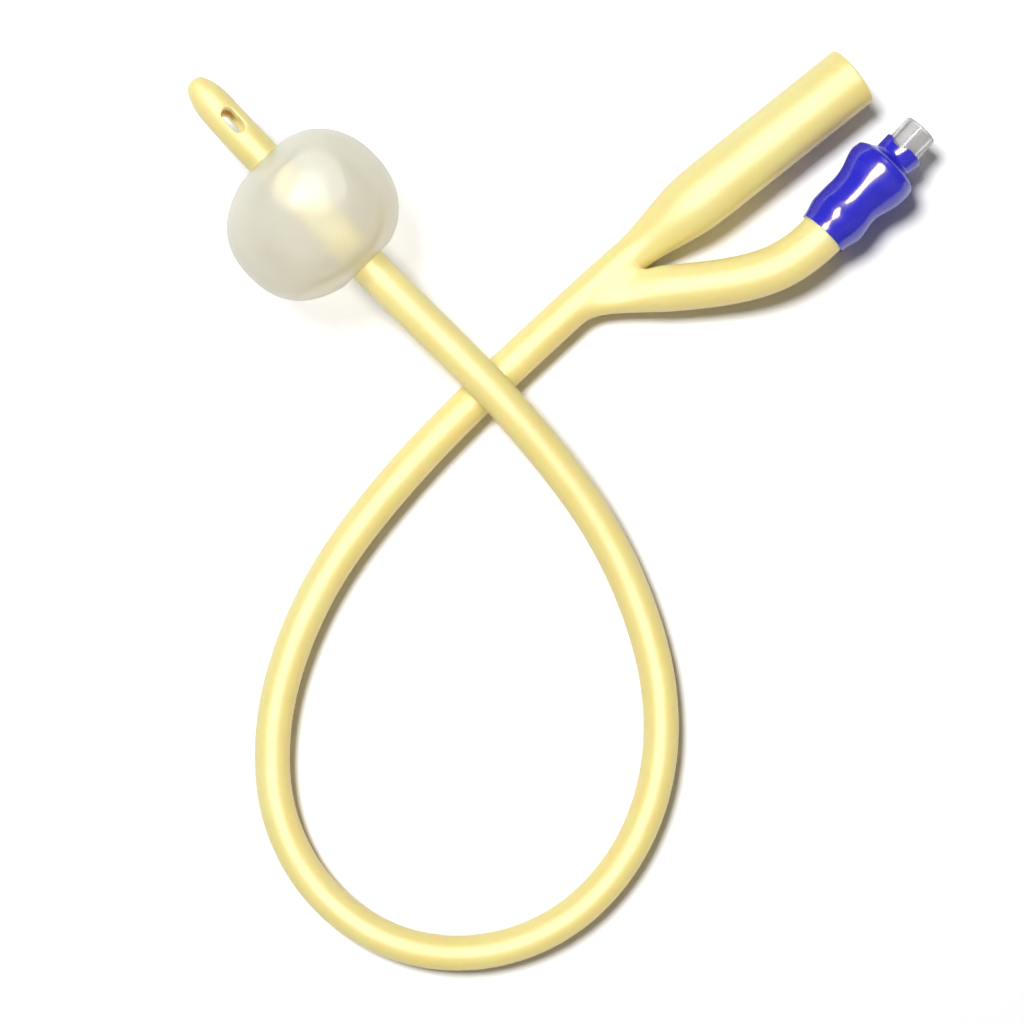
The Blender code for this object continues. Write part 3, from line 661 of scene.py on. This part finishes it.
def moulded_material(name, low, high, roughness, metallic=0.0):
    """A moulded or drawn finish with slight changes of tone and gloss."""
    shader = Shader(name)
    tone = shader.ramp(shader.noise(300, 2), [(0.3, low), (0.7, high)])
    shader.feed("Base Color", tone)
    shader.set(Metallic=metallic)
    gloss = shader.range(shader.noise(900, 2), roughness - 0.04, roughness + 0.06)
    shader.feed("Roughness", gloss)
    shader.feed("Normal", shader.bump(shader.noise(3000, 2), 0.12, 0.00002))
    return shader.material


latex = latex_material()
film = film_material()
blue = sleeve_material()
clear = clear_material()
white_plastic = moulded_material("white_plastic", (0.80, 0.80, 0.78), (0.86, 0.86, 0.84), 0.34)
black_rubber = moulded_material("black_rubber", (0.035, 0.035, 0.035), (0.055, 0.055, 0.055), 0.60)
steel = moulded_material("drawn_steel", (0.52, 0.52, 0.53), (0.62, 0.62, 0.63), 0.26, 1.0)


# The latex body.
def cage_ring(bm, centre, direction, radius, skip=()):
    left, over = across(direction)
    corners = []
    for side in range(CAGE_SIDES):
        angle = 2 * math.pi * side / CAGE_SIDES
        offset = (left * math.cos(angle) + over * math.sin(angle)) * radius / CAGE_SHRINK
        corners.append(None if side in skip else bm.verts.new(centre + offset))
    return corners


def body_cage():
    """One cage for the tube, the arm and the saddle between them."""
    bm = bmesh.new()
    nose = [NOSE_LENGTH * share for share in (0.10, 0.32, 0.65)]
    shaft = even_steps(NOSE_LENGTH * 1.05, FORK_START - 0.0035, CAGE_SPACING)
    fork_rings = [FORK_START, FORK_START + FORK_LENGTH / 2, FORK_START + FORK_LENGTH]
    flare = even_steps(fork_rings[2] + 0.0016, FLARE_END + 0.001, 0.0038)
    funnel = even_steps(FLARE_END + 0.006, MOUTH - 0.0012, 0.0080)
    rim = [MOUTH - RIM_ROUND, MOUTH - 0.3 * RIM_ROUND, MOUTH]
    insets = {rim[1]: 0.25 * RIM_ROUND, rim[2]: RIM_ROUND}
    stations = nose + shaft + fork_rings + flare + funnel + rim
    fork = len(nose) + len(shaft)
    rings = []
    for index, distance in enumerate(stations):
        radius = shaft_radius(distance) - insets.get(distance, 0.0)
        skip = (CAGE_SIDES // 2,) if index == fork + 1 else ()
        place = distance if index else 0.0
        rings.append(cage_ring(bm, shaft_point(place), shaft_direction(place), radius, skip))
    for first, second in zip(rings, rings[1:]):
        bridge(bm, first, second)
    bm.faces.new(rings[0])
    middle_of_wall = FUNNEL_RADIUS - FUNNEL_WALL / 2
    inner = cage_ring(bm, shaft_point(MOUTH), shaft_direction(MOUTH), middle_of_wall)
    bridge(bm, rings[-1], inner)
    bm.faces.new(inner)

    start, middle, end = rings[fork:fork + 3]
    opening = [end[4], end[3], middle[3], start[3], start[4], start[5], middle[5], end[5]]
    arm_stations = [ARM_RADIUS * share for share in (2.4, 3.15, 4.2)]
    arm_stations += even_steps(ARM_RADIUS * 5.45, ARM_AT_SLEEVE - 0.0020, 0.0050)
    arm_stations += even_steps(ARM_AT_SLEEVE, ARM_END - 0.0008, 0.0022)
    arm_stations += [ARM_END - RIM_ROUND, ARM_END]
    before = opening
    for distance in arm_stations:
        centre, direction = ARM_PATH.at(distance), ARM_PATH.direction(distance)
        ring = cage_ring(bm, centre, direction, arm_radius(distance))
        bridge(bm, before, ring)
        before = ring
    bm.faces.new(before)
    bmesh.ops.recalc_face_normals(bm, faces=bm.faces)
    return bm


def drain_bmesh():
    deepest = EYE_DISTANCE - EYE_LENGTH / 2 - 0.0002
    distances = even_steps(deepest, FORK_START, LUMEN_SPACING)
    distances += even_steps(FORK_START + 0.003, FLARE_END + 0.001, 0.0015)
    distances += even_steps(FLARE_END + 0.004, MOUTH - RIM_ROUND, 0.006)
    radii = [drain_radius(distance) for distance in distances]
    # The mouth's inner edge opens out softly.
    for past, wider in ((-0.5, 0.13), (-0.15, 0.45), (0.05, 1)):
        distances.append(MOUTH + past * RIM_ROUND)
        radii.append(drain_radius(MOUTH) + wider * RIM_ROUND)
    distances.append(MOUTH + 0.001)
    radii.append(drain_radius(MOUTH) + 2 * RIM_ROUND)
    points = []
    for distance in distances:
        left, _ = across(shaft_direction(min(distance, MOUTH)))
        shift = smooth(DRAIN_LUMEN_OFFSET, 0, (distance - FORK_START) / FORK_LENGTH)
        points.append(shaft_point(distance) + left * shift)
    return tube_bmesh(points, radii)


def eye_bmesh():
    """A slot through both walls. It widens outward on an arc, which leaves soft rounded lips."""
    bm = bmesh.new()
    half = (EYE_LENGTH - EYE_WIDTH) / 2
    steps = 14
    arc = 6
    tube = shaft_radius(EYE_DISTANCE)

    def outline(grow):
        points = []
        for end in (1, -1):
            for step in range(steps + 1):
                angle = math.pi * (step / steps - 0.5) + (math.pi if end < 0 else 0)
                reach = EYE_WIDTH / 2 + grow
                points.append((end * half + reach * math.cos(angle), reach * math.sin(angle)))
        return points

    rings = []
    for side in (-1, 1):
        levels = []
        for step in range(arc + 1):
            angle = math.radians(80) * step / arc
            levels.append((EYE_LIP * (1 - math.cos(angle)), EYE_LIP * (1 - math.sin(angle))))
        made = []
        for grow, depth in levels:
            ring = []
            for x, y in outline(grow):
                inside = max(tube * tube - y * y, 0.0) ** 0.5
                ring.append(bm.verts.new((x, y, side * (inside - depth))))
            made.append(ring)
        made.append([bm.verts.new((x, y, side * (tube + 0.001))) for x, y in outline(EYE_LIP)])
        rings += made[::-1] if side < 0 else made
    for first, second in zip(rings, rings[1:]):
        bridge(bm, first, second)
    bm.faces.new(rings[0])
    bm.faces.new(rings[-1])
    bmesh.ops.recalc_face_normals(bm, faces=bm.faces)
    direction = shaft_direction(EYE_DISTANCE)
    left, over = across(direction)
    axis = over * math.cos(EYE_TILT) + left * math.sin(EYE_TILT)
    turn = Matrix((direction, axis.cross(direction), axis)).transposed().to_4x4()
    place = Matrix.Translation(shaft_point(EYE_DISTANCE)) @ turn
    bmesh.ops.transform(bm, matrix=place, verts=bm.verts)
    return bm


def socket_bmesh():
    """The arm's stepped bore round the valve, and the start of the inflation lumen."""
    tail = TAIL_RADIUS + TAIL_BARB + FIT_GAP
    bottom = HOUSING_BOTTOM - BASE_FLANGE_THICKNESS
    stations = [
        (bottom - TAIL_LENGTH - 0.0060, ARM_LUMEN_RADIUS),
        (bottom - TAIL_LENGTH - 0.0012, ARM_LUMEN_RADIUS),
        (bottom - TAIL_LENGTH - 0.0004, tail),
        (bottom - FIT_GAP - 0.00001, tail),
        (bottom - FIT_GAP, HOUSING_RADIUS + FIT_GAP),
        (ARM_MOUTH - HEAD_DEPTH - HEAD_CONE, HOUSING_RADIUS + FIT_GAP),
        (ARM_MOUTH - HEAD_DEPTH, HOUSING_HEAD_RADIUS + FIT_GAP),
        (ARM_MOUTH + 0.002, HOUSING_HEAD_RADIUS + FIT_GAP),
    ]
    points = [VALVE_ORIGIN + VALVE_AXIS * along for along, _ in stations]
    return tube_bmesh(points, [radius for _, radius in stations])


def build_latex():
    body = mesh_object("latex_body", body_cage(), latex)
    rounding = body.modifiers.new("rounding", "SUBSURF")
    rounding.levels = CAGE_LEVELS
    rounding.render_levels = CAGE_LEVELS
    cutters = [
        mesh_object("drainage_lumen", drain_bmesh()),
        mesh_object("valve_socket", socket_bmesh()),
        mesh_object("eye_slot", eye_bmesh()),
    ]
    for cutter in cutters:
        cut(body, cutter)
    settle(body)
    for cutter in cutters:
        bpy.data.objects.remove(cutter, do_unlink=True)
    body.data.set_sharp_from_angle(angle=math.radians(50))
    return body


# The body's mesh is parted where the shaft passes under itself, at this distance from the tip.
SEAM = 0.3207


def distance_along(point):
    """The distance from the tip of the centreline's nearest point."""
    best = min(range(len(CENTRES)), key=lambda k: (CENTRES[k] - point).length_squared)
    return best * CENTRE_STEP


CENTRE_STEP = 0.0008
CENTRES = [shaft_point(k * CENTRE_STEP) for k in range(int(MOUTH / CENTRE_STEP) + 1)]


def part_off(whole, name, keep):
    """A copy of some of the faces, which keeps the whole's normals so that no seam shows."""
    source = whole.data
    normals = [Vector(corner.vector) for corner in source.corner_normals]
    bm = bmesh.new()
    bm.from_mesh(source)
    bm.faces.ensure_lookup_table()
    kept = [face.index for face in bm.faces if keep[face.index]]
    bmesh.ops.delete(bm, geom=[face for face in bm.faces if not keep[face.index]], context="FACES")
    made = mesh_object(name, bm, latex)
    corners = []
    for index in kept:
        polygon = source.polygons[index]
        corners += [normals[loop] for loop in polygon.loop_indices]
    made.data.normals_split_custom_set(corners)
    return made


def build_body():
    whole = build_latex()
    keep = [distance_along(polygon.center) < SEAM for polygon in whole.data.polygons]
    shaft = part_off(whole, "latex_shaft", keep)
    branch = part_off(whole, "latex_funnel_and_arm", [not value for value in keep])
    bpy.data.objects.remove(whole, do_unlink=True)
    for piece in (shaft, branch):
        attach(piece, "catheter")
        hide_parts("catheter_body")
    return shaft, branch


# The balloon.
CUFF_RADIUS = BALLOON_END_RADIUS + FIT_GAP + BALLOON_WALL


def balloon_height(radius):
    share = radius / BALLOON_RADIUS
    dome = (1 - share ** BALLOON_SQUARENESS) ** (1 / BALLOON_SQUARENESS)
    inward = (BALLOON_DIMPLE_RADIUS - radius) / (BALLOON_DIMPLE_RADIUS - CUFF_RADIUS)
    return BALLOON_HALF_LENGTH * dome - smooth(0, BALLOON_DIMPLE, inward)


def build_balloon():
    steps = 40
    rim_angle = math.acos((BALLOON_DIMPLE_RADIUS / BALLOON_RADIUS) ** (BALLOON_SQUARENESS / 2))
    radii = []
    for step in range(steps + 1):
        angle = rim_angle * step / steps
        radii.append(BALLOON_RADIUS * math.cos(angle) ** (2 / BALLOON_SQUARENESS))
    for step in range(1, 9):
        radii.append(lerp(BALLOON_DIMPLE_RADIUS, CUFF_RADIUS, step / 8))
    half = [(radius, balloon_height(radius)) for radius in radii]
    half.append((CUFF_RADIUS, half[-1][1] - BALLOON_CUFF_LENGTH))
    profile = half[::-1] + [(radius, -height) for radius, height in half[1:]]
    bm = bmesh.new()
    turns = [2 * math.pi * step / BALLOON_TURN_STEPS for step in range(BALLOON_TURN_STEPS)]
    rings = []
    for radius, height in profile:
        flat = [(radius * math.cos(turn), radius * math.sin(turn)) for turn in turns]
        rings.append([bm.verts.new((x, y, height)) for x, y in flat])
    for first, second in zip(rings, rings[1:]):
        bridge(bm, first, second)
    bmesh.ops.recalc_face_normals(bm, faces=bm.faces)
    for vertex in bm.verts:
        outward = (vertex.co.xy.length - CUFF_RADIUS) / (BALLOON_RADIUS - CUFF_RADIUS)
        vertex.co.x -= smooth(0, BALLOON_ECCENTRICITY, outward)
    made = mesh_object("balloon_membrane", bm, film)
    thicken(made, BALLOON_WALL)
    left, over = across(shaft_direction(BALLOON_FROM_TIP))
    turn = Matrix((left, over, shaft_direction(BALLOON_FROM_TIP))).transposed().to_4x4()
    settle(made, Matrix.Translation(shaft_point(BALLOON_FROM_TIP)) @ turn)
    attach(made, "catheter")
    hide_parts("balloon")
    return made


# The valve.
SEAT_TOP = VALVE_LENGTH - LUER_DEPTH
SEAT_BOTTOM = SEAT_TOP - SEAT_THICKNESS
PLUG_TOP = HOUSING_BOTTOM + BASE_PLUG_LENGTH
SEAL_TOP = SEAT_BOTTOM - SEAT_GAP
SEAL_BOTTOM = SEAL_TOP - SEAL_THICKNESS
POPPET_TOP = SEAL_BOTTOM - SEAT_GAP
POPPET_BOTTOM = POPPET_TOP - POPPET_THICKNESS


def build_sleeve():
    heights = even_steps(0.0, SLEEVE_LENGTH, 0.00025)[::-1]
    profile = [(sleeve_radius(height), height) for height in heights]
    made = turned(
        "blue_sleeve", profile, blue, "catheter", "valve_sleeve", False, SLEEVE_WALL
    )
    inverse = VALVE_PLACE.inverted()
    for vertex in made.data.vertices:
        vertex.co = VALVE_PLACE @ shrunk(inverse @ vertex.co)
    return made


# The notch lies a little to the left of the top, seen along the valve. Angles are in radians.
NOTCH_TURN = -0.35
NOTCH_HALF_WIDTH = 0.42
NOTCH_DEPTH = 0.0009
EDGE_START = 0.0168
LOBE_FLARE = 0.00035
LUMP_HEIGHT = 0.00006
LUMPS_START = 0.0015
LUMPS_END = 0.0165


def shrunk(point):
    """The film as it shrank: uneven over the shoulder, with a notched edge round the barrel."""
    out = point.xy.length
    side = VALVE_PLACE.to_3x3() @ Vector((point.x, point.y, 0))
    turn = math.atan2(side.dot(VALVE_AXIS.cross(UP)), side.z)
    height = point.z
    uneven = smooth(0, 1, (height - LUMPS_START) / 0.004)
    uneven *= smooth(1, 0, (height - LUMPS_END) / 0.0015)
    lump = math.sin(3 * turn + 900 * height) + 0.7 * math.sin(5 * turn - 620 * height + 1.0)
    out += LUMP_HEIGHT * uneven * (lump + 0.3)
    notch = math.exp(-((turn - NOTCH_TURN) / NOTCH_HALF_WIDTH) ** 4)
    edge = smooth(0, 1, (height - EDGE_START) / (SLEEVE_LENGTH - EDGE_START))
    height -= edge * NOTCH_DEPTH * notch
    out += edge * LOBE_FLARE * (1 - notch) * (0.5 + 0.5 * math.sin(turn))
    flat = point.xy.normalized() * out
    return Vector((flat.x, flat.y, height))


def build_housing():
    luer_end = LUER_MOUTH_RADIUS - LUER_TAPER / 2 * LUER_DEPTH
    flange_top = ARM_MOUTH + FIT_GAP + FLANGE_THICKNESS
    profile = [
        (BARREL_RADIUS, VALVE_LENGTH),
        (BARREL_RADIUS, flange_top + FLANGE_CONE),
        (HOUSING_FLANGE_RADIUS, flange_top),
        (HOUSING_FLANGE_RADIUS, ARM_MOUTH + FIT_GAP),
        (HOUSING_HEAD_RADIUS, ARM_MOUTH + FIT_GAP),
        (HOUSING_HEAD_RADIUS, ARM_MOUTH - HEAD_DEPTH),
        (HOUSING_RADIUS, ARM_MOUTH - HEAD_DEPTH - HEAD_CONE),
        (HOUSING_RADIUS, HOUSING_BOTTOM),
        (CHAMBER_RADIUS, HOUSING_BOTTOM),
        (CHAMBER_RADIUS, SEAT_BOTTOM),
        (THROAT_RADIUS, SEAT_BOTTOM),
        (THROAT_RADIUS, SEAT_TOP),
        (luer_end, SEAT_TOP),
        (LUER_MOUTH_RADIUS, VALVE_LENGTH),
    ]
    soft = rounded(profile, 0.0002)
    return turned("clear_housing", soft, clear, "catheter", "valve_housing")


def build_base():
    bottom = HOUSING_BOTTOM - BASE_FLANGE_THICKNESS
    pitch = TAIL_LENGTH / TAIL_BARBS
    barbs = []
    for barb in range(TAIL_BARBS):
        foot = bottom - TAIL_LENGTH + barb * pitch
        barbs.append((TAIL_RADIUS, foot))
        barbs.append((TAIL_RADIUS + TAIL_BARB, foot + 0.75 * pitch))
        barbs.append((TAIL_RADIUS, foot + 0.85 * pitch))
    profile = [
        (CHAMBER_RADIUS - FIT_GAP, PLUG_TOP),
        (CHAMBER_RADIUS - FIT_GAP, HOUSING_BOTTOM - SEAT_GAP),
        (HOUSING_RADIUS, HOUSING_BOTTOM - SEAT_GAP),
        (HOUSING_RADIUS, bottom),
        (TAIL_RADIUS, bottom),
        *barbs[::-1],
        (BASE_BORE_RADIUS, bottom - TAIL_LENGTH),
        (BASE_BORE_RADIUS, PLUG_TOP),
    ]
    soft = rounded(profile, 0.0001)
    return turned("barbed_base", soft, white_plastic, "catheter", "valve_base")


def build_plunger():
    stem_top = VALVE_LENGTH - STEM_TOP_DEPTH
    profile = [
        (0.0, stem_top),
        (STEM_RADIUS, stem_top),
        (STEM_RADIUS, POPPET_TOP),
        (POPPET_RADIUS, POPPET_TOP),
        (POPPET_RADIUS, POPPET_BOTTOM),
        (GUIDE_RADIUS, POPPET_BOTTOM),
        (GUIDE_RADIUS, POPPET_BOTTOM - GUIDE_LENGTH),
        (0.0, POPPET_BOTTOM - GUIDE_LENGTH),
    ]
    soft = rounded(profile, 0.00018)
    made = turned(
        "plunger", soft, white_plastic, "plunger", "valve_plunger", False
    )
    flute_bottom = SEAL_TOP + 0.0002
    height = stem_top + 0.001 - flute_bottom
    bm = bmesh.new()
    for side in range(4):
        place = Matrix.Rotation(math.pi / 2 * side, 4, "Z")
        place @= Matrix.Translation((STEM_RADIUS, 0, flute_bottom + height / 2))
        place @= Matrix.Diagonal((2 * FLUTE_DEPTH, FLUTE_WIDTH, height, 1))
        bmesh.ops.create_cube(bm, size=1.0, matrix=VALVE_PLACE @ place)
    flutes = mesh_object("flutes", bm)
    cut(made, flutes)
    body = made.parent
    settle(made)
    made.parent = body
    bpy.data.objects.remove(flutes, do_unlink=True)
    made.data.set_sharp_from_angle(angle=math.radians(40))
    return made


def build_seal():
    inner = STEM_RADIUS + FIT_GAP
    profile = [
        (POPPET_RADIUS, SEAL_TOP),
        (POPPET_RADIUS, SEAL_BOTTOM),
        (inner, SEAL_BOTTOM),
        (inner, SEAL_TOP),
    ]
    soft = rounded(profile, 0.00018, 5)
    return turned("seal_ring", soft, black_rubber, "plunger", "valve_seal")


def build_spring():
    low = PLUG_TOP + SPRING_WIRE_RADIUS + SEAT_GAP
    high = POPPET_BOTTOM - SPRING_WIRE_RADIUS - SEAT_GAP
    radius = 0.5 * (GUIDE_RADIUS + CHAMBER_RADIUS)
    count = round(36 * SPRING_TURNS)
    sides = 10
    bm = bmesh.new()
    before = None
    for step in range(count + 1):
        share = step / count
        angle = 2 * math.pi * SPRING_TURNS * share
        out = Vector((math.cos(angle), math.sin(angle), 0))
        centre = out * radius + UP * lerp(low, high, share * share * (3 - 2 * share))
        ring = []
        for side in range(sides):
            turn = 2 * math.pi * side / sides
            spoke = out * math.cos(turn) + UP * math.sin(turn)
            ring.append(bm.verts.new(centre + spoke * SPRING_WIRE_RADIUS))
        if before:
            bridge(bm, before, ring)
        else:
            bm.faces.new(ring)
        before = ring
    bm.faces.new(before)
    bmesh.ops.recalc_face_normals(bm, faces=bm.faces)
    made = mesh_object("spring_wire", bm, steel)
    settle(made, VALVE_PLACE)
    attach(made, "catheter")
    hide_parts("valve_spring")
    return made


# Camera, floor and lamps.
CAMERA_TURN = math.radians(-38.6)
CAMERA_HEIGHT = 0.450
MIDDLE = ORIGIN + Vector((-0.033, -0.0215, 0.0))
LAMP_DISTANCE = 1.2
FLOOR_LIFT = 0.20
FLOOR_BOUNCE = (0.76, 0.64, 0.46)
WORLD_STRENGTH = 0.10


def build_camera():
    """Straight down, as in the photograph."""
    data = bpy.data.cameras.new("camera")
    data.lens = 93.06
    data.sensor_width = 36
    data.clip_start = 0.01
    data.clip_end = 10
    camera = bpy.data.objects.new("camera", data)
    scene.collection.objects.link(camera)
    camera.location = MIDDLE + UP * CAMERA_HEIGHT
    camera.rotation_euler = (0, 0, CAMERA_TURN)
    scene.camera = camera


def towards(right, up, height):
    """A point given by how it lies in the picture: to the right, upward, and above the floor."""
    flat = Matrix.Rotation(CAMERA_TURN, 3, "Z") @ Vector((right, up, 0))
    return MIDDLE + flat + UP * height


def lamp_place(tilt, turn):
    """A place on the lamps' dome: the tilt from straight up, the turn from the picture's right."""
    tilt, turn = math.radians(tilt), math.radians(turn)
    across_floor = LAMP_DISTANCE * math.sin(tilt)
    right, up = across_floor * math.cos(turn), across_floor * math.sin(turn)
    return towards(right, up, LAMP_DISTANCE * math.cos(tilt))


def disc_light(
    name, place, width, radiance, gives, colour=(1, 1, 1), aim=None, only=None, soft=False
):
    """A round lamp of an angular width in degrees. It gives diffuse light or gloss."""
    radius = LAMP_DISTANCE * math.tan(math.radians(width) / 2)
    data = bpy.data.lights.new(name, "AREA")
    data.shape = "DISK"
    data.size = 2 * radius
    data.energy = radiance * (math.pi * radius) ** 2
    data.color = colour
    lamp = bpy.data.objects.new(name, data)
    scene.collection.objects.link(lamp)
    lamp.location = place
    lamp.rotation_euler = ((aim or MIDDLE) - place).to_track_quat("-Z", "Y").to_euler()
    lamp.visible_diffuse = "diffuse" in gives
    lamp.visible_glossy = "gloss" in gives
    lamp.visible_transmission = "gloss" not in gives
    if only:
        lamp.light_linking.receiver_collection = group_of(name + "_lights", only)
    if soft:
        soften(data)
    return lamp


def group_of(name, pieces):
    """Pieces that a lamp lights, or that shade it, as a collection of their own."""
    group = bpy.data.collections.new(name)
    for piece in pieces:
        group.objects.link(piece)
    return group


def stretch(lamp, axis, width, length):
    """Turns a round lamp into a long one along an axis. Its width and length are in degrees."""
    data = lamp.data
    radiance = data.energy / (math.pi * data.size / 2) ** 2
    data.shape = "ELLIPSE"
    data.size = 2 * LAMP_DISTANCE * math.tan(math.radians(width) / 2)
    data.size_y = 2 * LAMP_DISTANCE * math.tan(math.radians(length) / 2)
    data.energy = radiance * math.pi ** 2 * data.size * data.size_y / 4
    back = (lamp.location - MIDDLE).normalized()
    along = (axis - back * axis.dot(back)).normalized()
    lamp.rotation_euler = Matrix((along.cross(back), along, back)).transposed().to_euler()


def soften(data):
    """Lets a lamp fade from its middle to its edge."""
    data.use_nodes = True
    nodes, links = data.node_tree.nodes, data.node_tree.links
    place = nodes.new("ShaderNodeMapping")
    place.inputs["Location"].default_value = (-1, -1, 0)
    place.inputs["Scale"].default_value = (2, 2, 0)
    links.new(nodes.new("ShaderNodeNewGeometry").outputs["Parametric"], place.inputs["Vector"])
    fade = nodes.new("ShaderNodeTexGradient")
    fade.gradient_type = "SPHERICAL"
    links.new(place.outputs["Vector"], fade.inputs["Vector"])
    ease = nodes.new("ShaderNodeMapRange")
    ease.interpolation_type = "SMOOTHSTEP"
    ease.inputs["From Max"].default_value = 0.6
    links.new(fade.outputs["Fac"], ease.inputs["Value"])
    links.new(ease.outputs["Result"], nodes["Emission"].inputs["Strength"])


def either(nodes, links, *outputs):
    """1 where any of the outputs is 1."""
    total = outputs[0]
    for output in outputs[1:]:
        node = nodes.new("ShaderNodeMath")
        node.operation = "MAXIMUM"
        links.new(total, node.inputs[0])
        links.new(output, node.inputs[1])
        total = node.outputs[0]
    return total


def shown_rays(nodes, links):
    rays = nodes.new("ShaderNodeLightPath")
    names = ("Is Camera Ray", "Is Glossy Ray", "Is Transmission Ray")
    return either(nodes, links, *[rays.outputs[name] for name in names])


def build_floor():
    """White where it is seen or mirrored, with the shadow, and duller to the light it bounces."""
    shader = Shader("white_floor")
    nodes, links = shader.nodes, shader.links
    paper = shader.ramp(shader.noise(30, 2), [(0.3, (0.98, 0.98, 0.98)), (0.7, (1.0, 1.0, 1.0))])
    shader.feed("Base Color", paper)
    shader.set(Roughness=0.9, Specular_IOR_Level=0.0)
    lift = nodes.new("ShaderNodeBsdfDiffuse")
    lift.inputs["Color"].default_value = (FLOOR_LIFT, FLOOR_LIFT, FLOOR_LIFT, 1)
    both = nodes.new("ShaderNodeAddShader")
    shader.join(shader.principled.outputs[0], both.inputs[0])
    shader.join(lift.outputs[0], both.inputs[1])
    grey = nodes.new("ShaderNodeBsdfDiffuse")
    grey.inputs["Color"].default_value = (*FLOOR_BOUNCE, 1)
    mix = nodes.new("ShaderNodeMixShader")
    links.new(shown_rays(nodes, links), mix.inputs["Fac"])
    links.new(grey.outputs[0], mix.inputs[1])
    links.new(both.outputs[0], mix.inputs[2])
    links.new(mix.outputs[0], shader.output.inputs["Surface"])
    bm = bmesh.new()
    bmesh.ops.create_grid(bm, x_segments=1, y_segments=1, size=3.0)
    floor = mesh_object("floor", bm, shader.material)
    parts.objects.unlink(floor)
    scene.collection.objects.link(floor)
    return floor


def build_world():
    world = bpy.data.worlds.new("studio")
    scene.world = world
    world.use_nodes = True
    nodes, links = world.node_tree.nodes, world.node_tree.links
    background = nodes["Background"]
    background.inputs["Color"].default_value = (1, 1, 1, 1)
    background.inputs["Strength"].default_value = WORLD_STRENGTH
    shown = nodes.new("ShaderNodeBackground")
    shown.inputs["Color"].default_value = (1, 1, 1, 1)
    shown.inputs["Strength"].default_value = 1.0
    rays = nodes.new("ShaderNodeLightPath")
    mix = nodes.new("ShaderNodeMixShader")
    seen = either(nodes, links, rays.outputs["Is Camera Ray"], rays.outputs["Is Transmission Ray"])
    links.new(seen, mix.inputs["Fac"])
    links.new(background.outputs[0], mix.inputs[1])
    links.new(shown.outputs[0], mix.inputs[2])
    links.new(mix.outputs[0], nodes["World Output"].inputs["Surface"])


build_camera()
shaft, branch = build_body()
balloon = build_balloon()
sleeve = build_sleeve()
housing = build_housing()
inside = [build_base(), build_plunger(), build_seal(), build_spring()]

floor = build_floor()
build_world()
BALLOON_MIDDLE = shaft_point(BALLOON_FROM_TIP)
everything = [shaft, branch, balloon, sleeve, housing, *inside]
KEY_PLACE = lamp_place(25, 135)
STREAK_PLACE = lamp_place(12, 135)
disc_light("key", KEY_PLACE, 18, 14.0, "diffuse")
# Most light goes on through the clear water in the balloon, which so leaves only a faint shadow.
opaque = [piece for piece in everything if piece != balloon]
through = disc_light("key_through_water", KEY_PLACE, 18, 24.0, "diffuse", only=[*opaque, floor])
through.light_linking.blocker_collection = group_of("opaque", opaque)
disc_light("key_on_balloon", KEY_PLACE, 18, 24.0, "diffuse", only=[balloon])
disc_light("fill", lamp_place(57, -45), 60, 1.5, "diffuse", (1.0, 0.84, 0.60), only=everything)
disc_light("sheen", lamp_place(9, 115), 90, 7.0, "gloss", only=[shaft, branch], soft=True)
at_balloon = {"aim": BALLOON_MIDDLE, "only": [balloon]}
disc_light("window", lamp_place(44, 98), 92, 2.6, "gloss", **at_balloon)
disc_light("window_core", lamp_place(32, 89), 60, 4.6, "gloss", soft=True, **at_balloon)
# Golden gloss over the sleeve's blue comes out white.
gold = (1.0, 0.80, 0.25)
sleeve_streak = disc_light("streak", STREAK_PLACE, 18, 23.0, "gloss", gold, only=[sleeve])
stretch(sleeve_streak, VALVE_AXIS, 24, 46)
barrel_streak = disc_light("barrel_streak", STREAK_PLACE, 18, 13.0, "gloss", only=[housing])
stretch(barrel_streak, VALVE_AXIS, 24, 60)
scene.view_settings.view_transform = "Standard"
